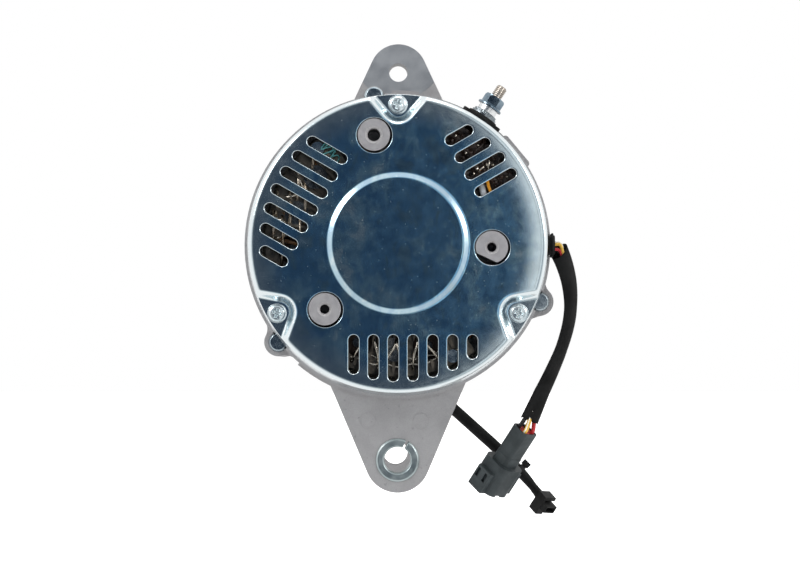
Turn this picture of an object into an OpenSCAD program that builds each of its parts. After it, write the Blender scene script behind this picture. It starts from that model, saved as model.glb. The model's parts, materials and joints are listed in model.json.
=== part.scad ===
// Heavy-duty vehicle alternator, drawn as the pieces that it comes apart into.
//
// The part's origin is the middle of the rear pivot bore. Most pieces are drawn in the machine
// frame: X to the right, Y forward from the flat face of the rear cover, Z up from the rotor
// axis, looking at the rear cover. at_machine() puts that frame in place.

/* [Body] */
// Outer radius of the cast housings
body_r = 82; // [81.5:0.5:82.5]
// Radius of the circle that the through bolts lie on
bolt_circle_r = 82.4; // [82:0.1:83.5]
// Outer radius of the two lower through-bolt lugs
lug_r = 7.7; // [7:0.1:8.2]
// Outer radius of the upper through-bolt lug
top_lug_r = 5.8; // [5.6:0.1:7]
// Outer radius of the stator laminations
stator_r = 77; // [76.5:0.5:77]

/* [Pivot foot and ear] */
// Height of the rotor axis above the pivot bore
axis_z = 115; // [112:1:118]
// Radius of the pivot bolt's bore
pivot_bore_r = 7.1; // [6.6:0.1:8.2]
// Outer radius of the split bushing
bushing_r = 11.65; // [11:0.05:12]
// Outer radius of the rear foot's boss
foot_boss_r = 17.5; // [17:0.5:19]
// Outer radius of the front foot's boss
front_boss_r = 14; // [13:0.5:16]
// Radius of the hole in the adjusting ear
ear_hole_r = 5.25; // [4.2:0.05:6.5]
// Height of the ear's hole above the rotor axis
ear_z = 102.4; // [101:0.2:106]
// Thickness of the ear
ear_thick = 15; // [12:1:18]

/* [Rear cover] */
// Thickness of the cover's sheet
sheet = 1.2; // [1:0.1:1.4]
// Radius where the cover's flat face ends
face_r = 75.5; // [75:0.5:76]
// Width of a cooling slot
slot_w = 5.5; // [4.5:0.1:6]
// Depth of a screw pocket
pocket_depth = 5; // [4:0.5:6]

/* [Rotor] */
// Outer radius of the pole claws
claw_r = 51; // [50:0.5:51.4]
// Number of fingers on a pole claw
claw_count = 6; // [6:1:6]
// Radius of the slip rings
slip_ring_r = 13; // [12.5:0.5:14]

/* [Drive end] */
// Outer radius of the pulley
pulley_r = 40; // [38:1:44]
// Outer radius of the cooling fan
fan_r = 64; // [58:1:66]
// Number of fan blades
blade_count = 12; // [8:1:14]

/* [Output terminal] */
// Angle of the output stud above the right-hand horizontal
terminal_angle = 56.4; // [55:0.2:57]
// Thread radius of the output stud
terminal_r = 3; // [2.8:0.1:3]

/* [Leads] */
// Radius of the harness sleeve
sleeve_r = 4; // [3.4:0.1:4.2]
// Radius of the second lead
lead_r = 3.2; // [2.8:0.1:3.3]

/* [Hidden] */
$fn = 96;

// Stations along the rotor axis, forward from the cover's flat face
cover_end = 26;
emboss = 1.5;
rear_wall_start = 28;
rear_wall_end = 33;
rear_lip = 66;
rear_housing_end = 70;
rear_foot_start = 30;
rear_foot_end = 50;
pivot_t = (rear_foot_start + rear_foot_end) / 2;
bolt_seat = 38;
rear_bearing_start = 31;
rear_bearing_width = 12;
front_housing_start = 102;
front_lip = 106;
front_wall_start = 142;
front_housing_end = 147;
ear_start = 104;
front_foot_start = 138;
front_foot_end = 160;
front_bearing_start = 128;
front_bearing_width = 15;
claw_disc = 12;
claw_start = 58;
claw_end = 114;
fan_plate_start = 166;
fan_plate = 2.5;
pulley_start = fan_plate_start + fan_plate;
pulley_width = 32;
nut_start = pulley_start + pulley_width;
// Key between the shaft and the pulley
key_w = 5;
key_length = 30;
key_foot = 5.5;
shaft_start = 6;
shaft_end = nut_start + 15;

// Radii
housing_bore_r = 74;
hub_r = 26;
rear_bearing_bore = 8.5;
rear_bearing_r = 20;
front_bearing_bore = 10;
front_bearing_r = 26;
stator_bore_r = 52;
sleeve_in_r = 7;
sleeve_out_r = 9.5;

// Clearance radius of the stub shaft through the rear wall
shaft_gap_r = 10.5;
// Outer radius of the threaded drive end, under the fan and pulley
drive_r = 8.5;
// Body and head radius of the small screws inside
small_screw_r = 1.9;
small_head_r = 3.6;

// Cover details, as polar places round the rotor axis
// Where the step up to the raised middle starts and ends
step_in_r = 34.4;
step_out_r = 37.6;
// Radius that the sheet is rounded over at the rim, and outer radius of its skirt
rim_round = 3.5;
skirt_r = 80.6;
cover_screw_r = 2.5;
pocket_angles = [90, 210, 330];
screw_circle_r = 73.5;
pocket_centre_r = 72.4;
pocket_top_r = 9;
pocket_floor_r = 6.3;
pocket_half_angle = 41;
slot_end_r = 70;
slot_pitch = 10.4;
// Each slot group: direction, number of slots, sideways place of the first, inner end
slot_groups = [[270, 7, -23.3, 50.9], [150, 7, -23.8, 47.8], [30, 4, 2, 51.1]];
// Each threaded boss: X, Z, radius of the thread
bosses = [[-12.7, 57.2, 3.4], [49.4, -2, 2.5], [-38.5, -34.7, 2.5]];
boss_r = 8.5;
boss_hole_r = 9.3;
boss_hole_shift = [0.3, -0.3];
bolt_angles = [98.8, 218.8, 338.8];
lug_radii = [top_lug_r, lug_r, lug_r];
lug_fillet = 8;
bolt_r = 3;
bolt_flange_r = 5.4;
bolt_face_r = 4.3;
// Width across the barrel of the terminal's seat and of the harness opening
seat_w = 23.2;
harness_gap = 10.6;
lead_angle = 287;
lead_t = 57;
rectifier_screw_r = 66;
rectifier_screw_angles = [130, 238, 296];
// Sideways places and height of the brush holder's two screws
holder_screw_x = [-13, 13];
holder_screw_z = 24;
retainer_screw_r = 31;
retainer_thick = 3;
retainer_angles = [45, 135, 225, 315];
positive_diodes = [141, 163, 268];
negative_diodes = [183, 248, 286];
diode_circle_r = 56;
diode_r = 6.3;
diode_lead_r = 0.8;
regulator_angle = 30;
regulator_r = 53;
brush_stations = [12.5, 22.5];
brush_w = 7;
brush_t = 5;
brush_top = 31;
holder_top = 44;
terminal_t = 22;
// Radius of the stud below the nut's outer face
shank_r = 3.2;
// Distances of the terminal's pieces from the rotor axis
stud_foot = 57;
washer_foot = 82.8;
collar_foot = 85.4;
nut_foot = 88.7;
nut_top = 95.1;
stud_tip = 101.8;
groove_gap = 0.1;
ball_count = 8;
barrel_windows = [8, 28, 72, 118, 136, 154, 172, 190, 240, 304, 318];
front_windows = [10, 32, 54, 126, 148, 170, 192, 238, 302, 356];
foot_flank = 23;
ear_x = 1.2;
ear_r = 16.2;
ear_flank = 25;

// Places on the leads, in the part's own frame
connector_top = [68.3, -17, 16.6];
connector_tilt = [36.9, 4.1, 48.3];
plug_tilt = [-37.1, -4.6, -135.1];
// Middle line of the harness sleeve
sleeve_route = [
    [87, -16, 111], [89.5, -16, 104.5], [91.6, -16, 96.5], [92.6, -16, 88], [92.5, -16, 80],
    [91.4, -16, 72.5], [89.4, -16, 65], [86.8, -16, 57.5], [83.8, -16, 50.5],
    [80.6, -16, 43.5], [77.2, -16, 36.5], [73.9, -16.1, 29.2], [70.4, -16.3, 21.4]
];
// Middle line of the second lead
lead_route = [
    [24.5, 17, 35], [25.4, 17, 32.4], [27.4, 17, 30.1], [30.4, 17, 27.4], [38, 16.5, 20.6],
    [46, 16, 13.4], [54.4, 15, 5.8], [62, 13.5, -1.8], [69.5, 12, -9.8], [74, 11, -15.2],
    [77.3, 10, -19.4]
];
wire_r = 1.1;
// Places of the four wires in the grey connector's own frame
tail_places = [[-3.1, 2.5], [-3.1, -2.5], [3.1, -2.5], [3.1, 2.5]];
// Grey connector: length of its narrow shell, and its overall length
narrow_shell = 22;
connector_length = 39.4;
// Widths of its narrow and wide shells, of its socket and of its seals
narrow_size = [12, 10.4];
wide_size = [18, 17.5];
socket_size = [14.8, 14.4];
seal_size = [9.8, 8.2];
seal_foot = -2.5;

// Moves the machine frame into the part's own frame
module at_machine() {
    translate([0, -pivot_t, axis_z]) children();
}

// Turns local Z into machine Y, starting at station t
module along_y(t) {
    translate([0, t, 0]) rotate([-90, 0, 0]) children();
}

// A plate between two stations, from an outline in X and Z
module slab(t0, t1) {
    translate([0, t1, 0]) rotate([90, 0, 0]) linear_extrude(height = t1 - t0) children();
}

// A solid of revolution round the rotor axis, from points of radius and station
module turned(points) {
    rotate([-90, 0, 0]) rotate_extrude() polygon(points);
}

module rod(r, t0, t1) {
    along_y(t0) cylinder(r = r, h = t1 - t0);
}

module tube(r_out, r_in, t0, t1) {
    difference() {
        rod(r_out, t0, t1);
        rod(r_in, t0 - 1, t1 + 1);
    }
}

// A hexagonal prism along Y, given its width across flats
module hex_rod(flats, t0, t1) {
    along_y(t0) cylinder(d = flats / cos(30), h = t1 - t0, $fn = 6);
}

// Turns the machine's right-hand side to face the given angle
module turn(angle) {
    rotate([0, -angle, 0]) children();
}

// Places children at a polar place round the rotor axis
module at_polar(r, angle) {
    translate([r * cos(angle), 0, r * sin(angle)]) children();
}

function polar(r, angle) = [r * cos(angle), r * sin(angle)];
function arc(centre, r, a0, a1, steps) =
    [for (i = [0:steps]) centre + polar(r, a0 + (a1 - a0) * i / steps)];

// A flat ring between two radii
module ring(r_out, r_in) {
    difference() {
        circle(r_out);
        circle(r_in);
    }
}

// The part of a flat ring between two angles
module sector(r_in, r_out, a0, a1) {
    steps = 8;
    intersection() {
        ring(r_out, r_in);
        polygon(concat([[0, 0]], arc([0, 0], 1.5 * r_out, a0, a1, steps)));
    }
}

// Outlines of the bolt lugs, each flowing into the round housing through two fillets
module lug_outlines() {
    for (i = [0:2]) {
        to_body = body_r + lug_fillet;
        to_lug = lug_radii[i] + lug_fillet;
        x = (to_body * to_body - to_lug * to_lug + bolt_circle_r * bolt_circle_r)
            / (2 * bolt_circle_r);
        y = sqrt(to_body * to_body - x * x);
        fillet = arc([x, y], lug_fillet, atan2(-y, -x), atan2(-y, bolt_circle_r - x), 10);
        rotate(bolt_angles[i]) {
            translate([bolt_circle_r, 0]) circle(lug_radii[i]);
            for (side = [-1, 1]) scale([1, side])
                polygon(concat([[body_r - 6, 0]], fillet, [[bolt_circle_r, 0]]));
        }
    }
}

// Outline that widens from a round tip towards the housing: flanks lean by flank degrees
module tapered_outline(r_tip, flank, length) {
    a = polar(r_tip, -flank);
    b = a + length * [sin(flank), cos(flank)];
    circle(r_tip);
    polygon([a, b, [-b[0], b[1]], [-a[0], a[1]]]);
}

// A box with rounded upright edges, standing on z = 0 and centred in x and y
module soft_box(size, r) {
    linear_extrude(height = size[2]) soft_rect([size[0], size[1]], r);
}

module soft_rect(size, r) {
    square([size[0] - 2 * r, size[1]], center = true);
    square([size[0], size[1] - 2 * r], center = true);
    for (sx = [-1, 1], sy = [-1, 1])
        translate([sx * (size[0] / 2 - r), sy * (size[1] / 2 - r)]) circle(r);
}

// ---- rear cover ----

function cover_profile(inset) = concat(
    [[0, -emboss + inset], [step_in_r, -emboss + inset], [step_out_r, inset]],
    arc([face_r, rim_round], rim_round - inset, -90, 0, 8),
    [[skirt_r - inset, cover_end - 2], [skirt_r - inset, cover_end], [0, cover_end]]
);

// The flared V of a screw pocket, from above the face down to its floor
module pocket_shape(grow, floor_t) {
    reach = 24;
    hull() {
        for (side = [-1, 0, 1]) {
            spread = side == 0 ? [0, 0]
                : reach * [cos(pocket_half_angle), side * sin(pocket_half_angle)];
            translate([pocket_centre_r + spread[0], 0, spread[1]]) {
                rod(pocket_top_r + grow, -0.6, 0);
                rod(pocket_floor_r + grow, floor_t - 0.1, floor_t);
            }
        }
    }
}

module slot(inner, offset, t0, t1) {
    outer = sqrt(slot_end_r * slot_end_r - offset * offset);
    slab(t0, t1) {
        translate([inner, offset]) circle(d = slot_w);
        translate([outer, offset]) circle(d = slot_w);
        translate([inner, offset - slot_w / 2]) square([outer - inner, slot_w]);
    }
}

module slots(t0, t1) {
    for (group = slot_groups)
        turn(group[0])
            for (i = [0:group[1] - 1])
                slot(group[3], group[2] + slot_pitch * i, t0, t1);
}

module rear_cover() {
    color([0.24, 0.31, 0.40]) at_machine() difference() {
        turned(cover_profile(0));
        difference() {
            translate([0, 0.01, 0]) turned(concat(cover_profile(sheet), [[0, cover_end + 1]]));
            for (a = pocket_angles)
                turn(a) pocket_shape(sheet, pocket_depth + sheet);
        }
        for (a = pocket_angles) {
            turn(a) pocket_shape(0, pocket_depth);
            at_polar(screw_circle_r, a) rod(cover_screw_r + 0.25, -1, 10);
        }
        slots(-1, 3);
        for (b = bosses)
            translate([b[0] + boss_hole_shift[0], 0, b[1] + boss_hole_shift[1]])
                rod(boss_hole_r, -3, 3);
        turn(terminal_angle) translate([72, 13.5, -seat_w / 2]) cube([20, 20, seat_w]);
        translate([76, 16.8, -harness_gap / 2]) cube([10, 20, harness_gap]);
    }
}

module cover_screws() {
    head_r = 5;
    color([0.78, 0.82, 0.84]) at_machine() for (a = pocket_angles) at_polar(screw_circle_r, a) {
        difference() {
            translate([0, pocket_depth, 0]) turned(concat(
                [[0, 0], [head_r, 0], [head_r, -1.4]],
                [for (i = [1:5]) [head_r - 2.4 + 2.4 * cos(18 * i), -1.4 - 2 * sin(18 * i)]],
                [[0, -3.4]]
            ));
            for (q = [0, 90])
                translate([0, pocket_depth - 2.6, 0]) rotate([0, q + 20, 0])
                    translate([-2.3, -1, -0.5]) cube([4.6, 2.2, 1]);
        }
        rod(cover_screw_r, pocket_depth - 0.1, 20);
    }
}

// ---- housings ----

// Fillet between the foot's flank and the round housing, on the right-hand side
module foot_fillets(r_tip, centre_z, r_fillet) {
    // The fillet's centre is r_fillet away from both the flank line and the housing circle
    flank_d = r_tip + r_fillet - centre_z * sin(foot_flank);
    u = [cos(foot_flank), -sin(foot_flank)];
    v = [sin(foot_flank), cos(foot_flank)];
    along = -sqrt(pow(body_r + r_fillet, 2) - flank_d * flank_d);
    centre = flank_d * u + along * v;
    on_flank = centre - r_fillet * u;
    on_body = centre * body_r / (body_r + r_fillet);
    for (side = [-1, 1]) scale([side, 1]) difference() {
        polygon([on_flank, on_body, on_body * 0.9, on_flank + 20 * v]);
        translate(centre) circle(r_fillet);
    }
}

module foot_outline(r_tip, z) {
    translate([0, z]) tapered_outline(r_tip, foot_flank, 68);
}

module rear_housing() {
    window_angles = [32, 58, 148, 170, 190, 256, 276, 316, 338];
    pad_angle = 39.8;
    pad_end = 61;
    fillet_r = 9;
    ejector_marks = [[-15.9, -93.7], [12.6, -94]];
    mark_r = 4.4;
    color([0.66, 0.66, 0.67]) at_machine() difference() {
        union() {
            difference() {
                union() {
                    rod(body_r, cover_end, rear_housing_end);
                    slab(bolt_seat, rear_housing_end) lug_outlines();
                    slab(rear_wall_end, pad_end) {
                        // Flat pad beside the output terminal, and two raised bands
                        rotate(pad_angle) translate([77.9, -1.4]) soft_rect([11.8, 21], 2);
                        sector(78, 84.2, 82, 92);
                        sector(78, 83.4, 230, 246);
                    }
                }
                rod(housing_bore_r + 2, cover_end - 1, rear_wall_start);
                rod(housing_bore_r, rear_wall_end, rear_lip);
                rod(stator_r, rear_lip, rear_housing_end + 1);
            }
            slab(rear_foot_start, rear_foot_end) {
                difference() {
                    union() {
                        foot_outline(foot_boss_r, -axis_z);
                        foot_fillets(foot_boss_r, -axis_z, fillet_r);
                    }
                    circle(body_r - 3);
                }
            }
            rod(hub_r, rear_wall_start + 1, rear_bearing_start + rear_bearing_width + 1);
            for (a = pocket_angles)
                at_polar(screw_circle_r - 0.6, a) rod(4.9, pocket_depth + sheet, rear_wall_start + 1);
            for (b = bosses)
                translate([b[0], 0, b[1]]) rod(boss_r, -0.5, rear_wall_start + 1);
            for (a = rectifier_screw_angles)
                at_polar(rectifier_screw_r, a) rod(3.6, 24, rear_wall_start + 1);
        }
        for (a = window_angles)
            slab(rear_wall_start - 1, rear_wall_end + 1) sector(30, 63, a - 8, a + 8);
        rod(rear_bearing_r, rear_bearing_start, 60);
        rod(shaft_gap_r, rear_wall_start - 1, 60);
        for (a = pocket_angles)
            at_polar(screw_circle_r, a) rod(cover_screw_r, 0, 21);
        for (b = bosses) translate([b[0], 0, b[1]]) {
            rod(b[2], -1, 20);
            turned([[0, -1], [b[2] + 1.3, -1], [b[2] + 1.3, -0.5], [b[2], 0.8], [0, 0.8]]);
        }
        // Chord cut on the second boss
        translate([bosses[1][0], 0, bosses[1][1]]) turn(245)
            translate([6.2, -1, -10]) cube([4, 24, 20]);
        for (a = bolt_angles) at_polar(bolt_circle_r, a) {
            rod(bolt_r + 0.3, bolt_seat - 1, rear_housing_end + 1);
            rod(bolt_flange_r + 0.4, cover_end - 1, bolt_seat);
        }
        translate([0, 0, -axis_z]) rod(bushing_r, rear_foot_start - 1, rear_foot_end + 1);
        // Marks left by the ejector pins on the foot's rear face
        for (p = ejector_marks) translate([p[0], 0, p[1]])
            tube(mark_r, mark_r - 0.3, rear_foot_start - 1, rear_foot_start + 0.15);
        // Openings for the output terminal, the harness and the second lead
        turn(terminal_angle) translate([70, 20, -seat_w / 2]) cube([20, 14.3, seat_w]);
        translate([73, 20, -harness_gap / 2]) cube([12, 12.2, harness_gap]);
        turn(lead_angle) translate([70, lead_t, 0]) rotate([0, 90, 0]) cylinder(r = 4.5, h = 20);
        // Air windows round the barrel
        for (a = barrel_windows)
            turn(a) translate([70, 38, 0]) soft_window(11, 22);
        // Holes for the rectifier and brush-holder screws
        for (a = rectifier_screw_angles) at_polar(rectifier_screw_r, a) rod(small_screw_r, 24, 36);
        for (x = holder_screw_x) translate([x, 0, holder_screw_z]) rod(small_screw_r, 24, 36);
    }
}

// A radial opening with round ends: w is its width round the barrel, l its length along Y
module soft_window(w, l) {
    translate([0, w / 2, -w / 2]) cube([16, l - w, w]);
    for (y = [w / 2, l - w / 2])
        translate([0, y, 0]) rotate([0, 90, 0]) cylinder(d = w, h = 16);
}

module front_housing() {
    ear_tip = [ear_x, ear_z];
    lug_depth = 24;
    spot_face_r = 26;
    spot_face_rise = 10.6;
    spot_face_depth = 0.8;
    color([0.60, 0.61, 0.62]) at_machine() difference() {
        union() {
            difference() {
                union() {
                    turned([
                        [0, front_housing_start], [body_r, front_housing_start], [body_r, 138],
                        [body_r - 4, 143], [body_r - 12, front_housing_end], [0, front_housing_end]
                    ]);
                    slab(front_housing_start, front_housing_start + lug_depth) lug_outlines();
                }
                rod(stator_r, front_housing_start - 1, front_lip);
                turned([
                    [0, front_lip - 1], [housing_bore_r, front_lip - 1], [housing_bore_r, 134],
                    [housing_bore_r - 8, front_wall_start], [0, front_wall_start]
                ]);
            }
            rod(36, front_bearing_start, front_housing_end);
            slab(front_foot_start, front_foot_end) difference() {
                foot_outline(front_boss_r, -axis_z);
                circle(body_r - 10);
            }
            slab(ear_start, ear_start + ear_thick) difference() {
                translate(ear_tip) scale([1, -1]) tapered_outline(ear_r, ear_flank, 40);
                circle(body_r - 3);
            }
        }
        rod(front_bearing_r, 120, front_bearing_start + front_bearing_width);
        rod(17, 120, 160);
        for (a = [15:30:345])
            slab(front_wall_start - 1, front_housing_end + 1) sector(40, 60, a - 10, a + 10);
        for (a = bolt_angles) at_polar(bolt_circle_r, a)
            rod(bolt_r, front_housing_start - 1, front_housing_start + 20);
        translate([ear_x, 0, ear_z]) rod(ear_hole_r, ear_start - 1, ear_start + ear_thick + 1);
        // Machined face of the ear, cut with a large spot-facer
        translate([ear_x, 0, ear_z + spot_face_rise])
            rod(spot_face_r, ear_start - 1, ear_start + spot_face_depth);
        translate([0, 0, -axis_z]) rod(pivot_bore_r, front_foot_start - 1, front_foot_end + 1);
        for (a = front_windows)
            turn(a) translate([68, 110, 0]) soft_window(12, 24);
        for (a = retainer_angles) at_polar(retainer_screw_r, a) rod(2, 120, 138);
    }
}

module through_bolts() {
    color([0.80, 0.82, 0.84]) at_machine() for (a = bolt_angles) at_polar(bolt_circle_r, a) {
        turned([
            [0, bolt_seat], [bolt_flange_r, bolt_seat], [bolt_flange_r, bolt_seat - 0.9],
            [bolt_face_r + 0.2, bolt_seat - 3.2], [bolt_face_r, bolt_seat - 3.6],
            [0, bolt_seat - 3.6]
        ]);
        rod(bolt_r, bolt_seat - 1.5, front_housing_start + 19);
    }
}

module foot_bushing() {
    slit = 1.6;
    length = 21;
    start = rear_foot_start - 1.2;
    color([0.72, 0.75, 0.76]) at_machine() translate([0, 0, -axis_z]) difference() {
        turned([
            [pivot_bore_r, start + 0.6], [pivot_bore_r + 0.6, start], [bushing_r - 0.9, start],
            [bushing_r - 0.05, start + 0.8], [bushing_r - 0.05, start + length - 0.8],
            [bushing_r - 0.9, start + length], [pivot_bore_r, start + length]
        ]);
        turn(62) translate([0, start - 1, -slit / 2]) cube([20, length + 2, slit]);
    }
}

// ---- stator ----

module stator_core() {
    color([0.38, 0.39, 0.41]) at_machine() slab(rear_lip, front_lip) difference() {
        ring(stator_r, stator_bore_r);
        for (a = [0:10:350]) rotate(a) {
            translate([stator_bore_r - 1, -1.3]) square([5, 2.6]);
            translate([stator_bore_r + 3, -2]) square([12, 4]);
        }
    }
}

module stator_winding() {
    end_turn = 15;
    mid_r = (stator_bore_r + 5 + 71) / 2;
    color([0.62, 0.32, 0.14]) at_machine() {
        for (span = [[rear_lip - end_turn, rear_lip], [front_lip, front_lip + end_turn]])
            turned([
                [mid_r - 6, span[0]], [mid_r + 5, span[0]], [mid_r + 7, span[0] + 3],
                [mid_r + 7, span[1] - 3], [mid_r + 5, span[1]], [mid_r - 6, span[1]],
                [mid_r - 7, span[1] - 3], [mid_r - 7, span[0] + 3]
            ]);
        slab(rear_lip - 0.5, front_lip + 0.5) for (a = [0:10:350]) rotate(a)
            translate([stator_bore_r + 6, -1.9]) square([8.8, 3.8]);
    }
}

// ---- rectifier, output bar and regulator ----

module plate_outline(r_in, r_out) {
    difference() {
        sector(r_in, r_out, 122, 306);
        translate([bosses[2][0], bosses[2][1]]) circle(boss_r + 2);
        translate(polar(screw_circle_r, 210)) circle(9);
        for (a = rectifier_screw_angles) translate(polar(rectifier_screw_r, a)) circle(2.1);
    }
}

module rectifier_positive_plate() {
    color([0.62, 0.60, 0.57]) at_machine() difference() {
        union() {
            slab(9, 12) plate_outline(42, 70);
            for (a = [128:6:176]) turn(a) translate([44, 5.5, -0.7]) cube([24, 4, 1.4]);
            for (a = [238:6:300]) turn(a) translate([44, 5.5, -0.7]) cube([24, 4, 1.4]);
        }
        for (a = positive_diodes) at_polar(diode_circle_r, a) rod(diode_r, 0, 20);
        for (a = negative_diodes) at_polar(diode_circle_r, a) rod(diode_r + 1.2, 0, 20);
        for (a = rectifier_screw_angles) at_polar(rectifier_screw_r, a) {
            rod(4.3, 0, 9);
            rod(2.1, 8, 13);
        }
    }
}

module rectifier_negative_plate() {
    color([0.60, 0.58, 0.55]) at_machine() difference() {
        slab(21, 24) plate_outline(40, 72);
        for (a = negative_diodes) at_polar(diode_circle_r, a) rod(diode_r, 0, 30);
        for (a = positive_diodes) at_polar(diode_circle_r, a) rod(3, 0, 30);
    }
}

module rectifier_diodes() {
    color([0.70, 0.70, 0.70]) at_machine() {
        for (a = positive_diodes) at_polar(diode_circle_r, a) {
            rod(diode_r, 7, 12);
            rod(diode_lead_r, 11.9, 15);
        }
        for (a = negative_diodes) at_polar(diode_circle_r, a) {
            rod(diode_r, 20, 24);
            rod(diode_lead_r, 17, 20.1);
        }
    }
}

// Insulating board with moulded tubes that hold the two plates apart
module rectifier_board() {
    color([0.16, 0.13, 0.11]) at_machine() difference() {
        union() {
            slab(15, 17) plate_outline(46, 69);
            for (a = rectifier_screw_angles) at_polar(rectifier_screw_r, a) rod(3.4, 12, 21);
        }
        for (a = rectifier_screw_angles) at_polar(rectifier_screw_r, a)
            rod(small_screw_r, 11, 22);
        for (a = concat(positive_diodes, negative_diodes))
            at_polar(diode_circle_r, a) rod(3, 14, 18);
    }
}

module small_screw(head_t, tip_t) {
    rod(small_head_r, head_t - 2.6, head_t);
    rod(small_screw_r, head_t - 0.1, tip_t);
}

// Screws of the rectifier and the brush holder
module inner_screws() {
    color([0.75, 0.77, 0.78]) at_machine() {
        for (a = rectifier_screw_angles) at_polar(rectifier_screw_r, a) small_screw(9, 35);
        for (x = holder_screw_x) translate([x, 0, holder_screw_z]) small_screw(24, 35);
    }
}

module output_bar() {
    bar_t = 9.5;
    bar_thick = 2;
    bar_w = 8;
    color([0.72, 0.42, 0.20]) at_machine() {
        slab(bar_t, bar_t + bar_thick) sector(45.8, 49.4, terminal_angle, 122);
        turn(terminal_angle) {
            translate([45.9, bar_t, -bar_w / 2]) cube([stud_foot - 45.9, bar_thick, bar_w]);
            translate([stud_foot - bar_thick, bar_t, -bar_w / 2]) cube([bar_thick, 17, bar_w]);
        }
    }
}

module regulator() {
    color([0.25, 0.15, 0.11]) at_machine() turn(regulator_angle) translate([regulator_r, 8, 4])
        rotate([-90, 0, 0]) soft_box([24, 25, 14], 2);
}

module regulator_heat_sink() {
    color([0.62, 0.62, 0.62]) at_machine() turn(regulator_angle) {
        translate([regulator_r, 22, 4]) rotate([-90, 0, 0]) soft_box([25, 26, 3], 2);
        for (i = [-3:3]) translate([41.5, 24.9, 3.3 + 3.6 * i]) cube([23, 3, 1.4]);
    }
}

// ---- brush gear ----

module brush_holder() {
    color([0.12, 0.12, 0.13]) at_machine() difference() {
        union() {
            translate([-7, 8, 15.5]) cube([14, 19, holder_top - 15.5]);
            translate([-17, 24, 18]) cube([34, 3.9, 12]);
        }
        for (t = brush_stations)
            translate([-brush_w / 2 - 0.1, t - brush_t / 2 - 0.1, 10])
                cube([brush_w + 0.2, brush_t + 0.2, holder_top - 12]);
        for (x = holder_screw_x) translate([x, 0, holder_screw_z]) rod(small_screw_r, 20, 30);
    }
}

module brush(station) {
    color([0.20, 0.20, 0.21]) at_machine() difference() {
        translate([-brush_w / 2, station - brush_t / 2, 10])
            cube([brush_w, brush_t, brush_top - 10]);
        rod(slip_ring_r + 0.05, 0, 40);
    }
}

// Spring behind a brush, drawn as its envelope
module brush_spring(station) {
    color([0.70, 0.72, 0.74]) at_machine() translate([0, station, brush_top]) difference() {
        cylinder(r = 2.1, h = holder_top - 2 - brush_top, $fn = 32);
        translate([0, 0, -1]) cylinder(r = 1.5, h = 20, $fn = 32);
    }
}

module outer_brush() {
    brush(brush_stations[0]);
}

module inner_brush() {
    brush(brush_stations[1]);
}

module outer_brush_spring() {
    brush_spring(brush_stations[0]);
}

module inner_brush_spring() {
    brush_spring(brush_stations[1]);
}

// ---- output terminal: built outwards along the radius at terminal_angle ----

// A solid of revolution round local Z, from points of radius and height
module turned_up(points) {
    rotate_extrude() polygon(points);
}

module at_terminal(r) {
    at_machine() turn(terminal_angle) translate([r, terminal_t, 0]) rotate([0, 90, 0]) children();
}

module b_plus_stud() {
    chamfer = 0.8;
    color([0.80, 0.76, 0.68]) at_terminal(0) turned_up([
        [0, stud_foot], [shank_r, stud_foot], [shank_r, nut_top], [terminal_r, nut_top],
        [terminal_r, stud_tip - chamfer], [terminal_r - chamfer, stud_tip], [0, stud_tip]
    ]);
}

module b_plus_insulator() {
    foot = 73.5;
    plate_top = 81.6;
    boss_r = 8.4;
    color([0.10, 0.10, 0.11]) at_terminal(0) difference() {
        union() {
            translate([0, 2.1, foot]) soft_box([22.8, 19.8, plate_top - foot], 2.5);
            translate([0, 0, plate_top - 0.5])
                cylinder(r = boss_r, h = washer_foot - plate_top + 0.5);
            translate([0, 0, foot - 6]) cylinder(r = 6, h = 7);
        }
        translate([0, 0, foot - 8]) cylinder(r = shank_r, h = 30);
    }
}

module b_plus_washer() {
    step = washer_foot + 1.2;
    wide_r = 7.2;
    narrow_r = 6.4;
    color([0.78, 0.81, 0.83]) at_terminal(0) turned_up([
        [shank_r, washer_foot], [wide_r, washer_foot], [wide_r, step], [narrow_r, step],
        [narrow_r, collar_foot], [shank_r, collar_foot]
    ]);
}

module b_plus_collar() {
    collar_r = 5.3;
    color([0.85, 0.86, 0.86]) at_terminal(0) turned_up([
        [shank_r, collar_foot], [collar_r, collar_foot], [collar_r, nut_foot], [shank_r, nut_foot]
    ]);
}

module b_plus_nut() {
    height = nut_top - nut_foot;
    flange_r = 6.9;
    flats = 10;
    color([0.62, 0.68, 0.74]) at_terminal(nut_foot) difference() {
        union() {
            cylinder(r = flange_r, h = 0.8);
            translate([0, 0, 0.8]) cylinder(r1 = flange_r, r2 = 5.6, h = 0.9);
            intersection() {
                cylinder(d = flats / cos(30), h = height, $fn = 6);
                cylinder(r1 = 9, r2 = 5.2, h = height);
            }
        }
        translate([0, 0, -1]) cylinder(r = shank_r, h = height + 2);
    }
}

// ---- leads ----

function unit(v) = v / norm(v);

// One ring of a swept tube: points round p in the plane across direction d
function tube_ring(p, d, r, sides) =
    let (a = unit(cross(d, [0, 1, 0])), b = unit(cross(d, a)))
    [for (i = [0:sides - 1]) p + r * (a * cos(360 * i / sides) + b * sin(360 * i / sides))];

// A round tube swept along a route
module swept(route, r, sides) {
    n = len(route);
    points = [for (i = [0:n - 1])
        let (d = route[min(i + 1, n - 1)] - route[max(i - 1, 0)])
        each tube_ring(route[i], unit(d), r, sides)];
    walls = [for (i = [0:n - 2], j = [0:sides - 1])
        let (k = (j + 1) % sides)
        [i * sides + j, i * sides + k, (i + 1) * sides + k, (i + 1) * sides + j]];
    start = [for (j = [sides - 1:-1:0]) j];
    end = [for (j = [0:sides - 1]) (n - 1) * sides + j];
    polyhedron(points, concat([start], walls, [end]), convexity = 6);
}

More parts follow.
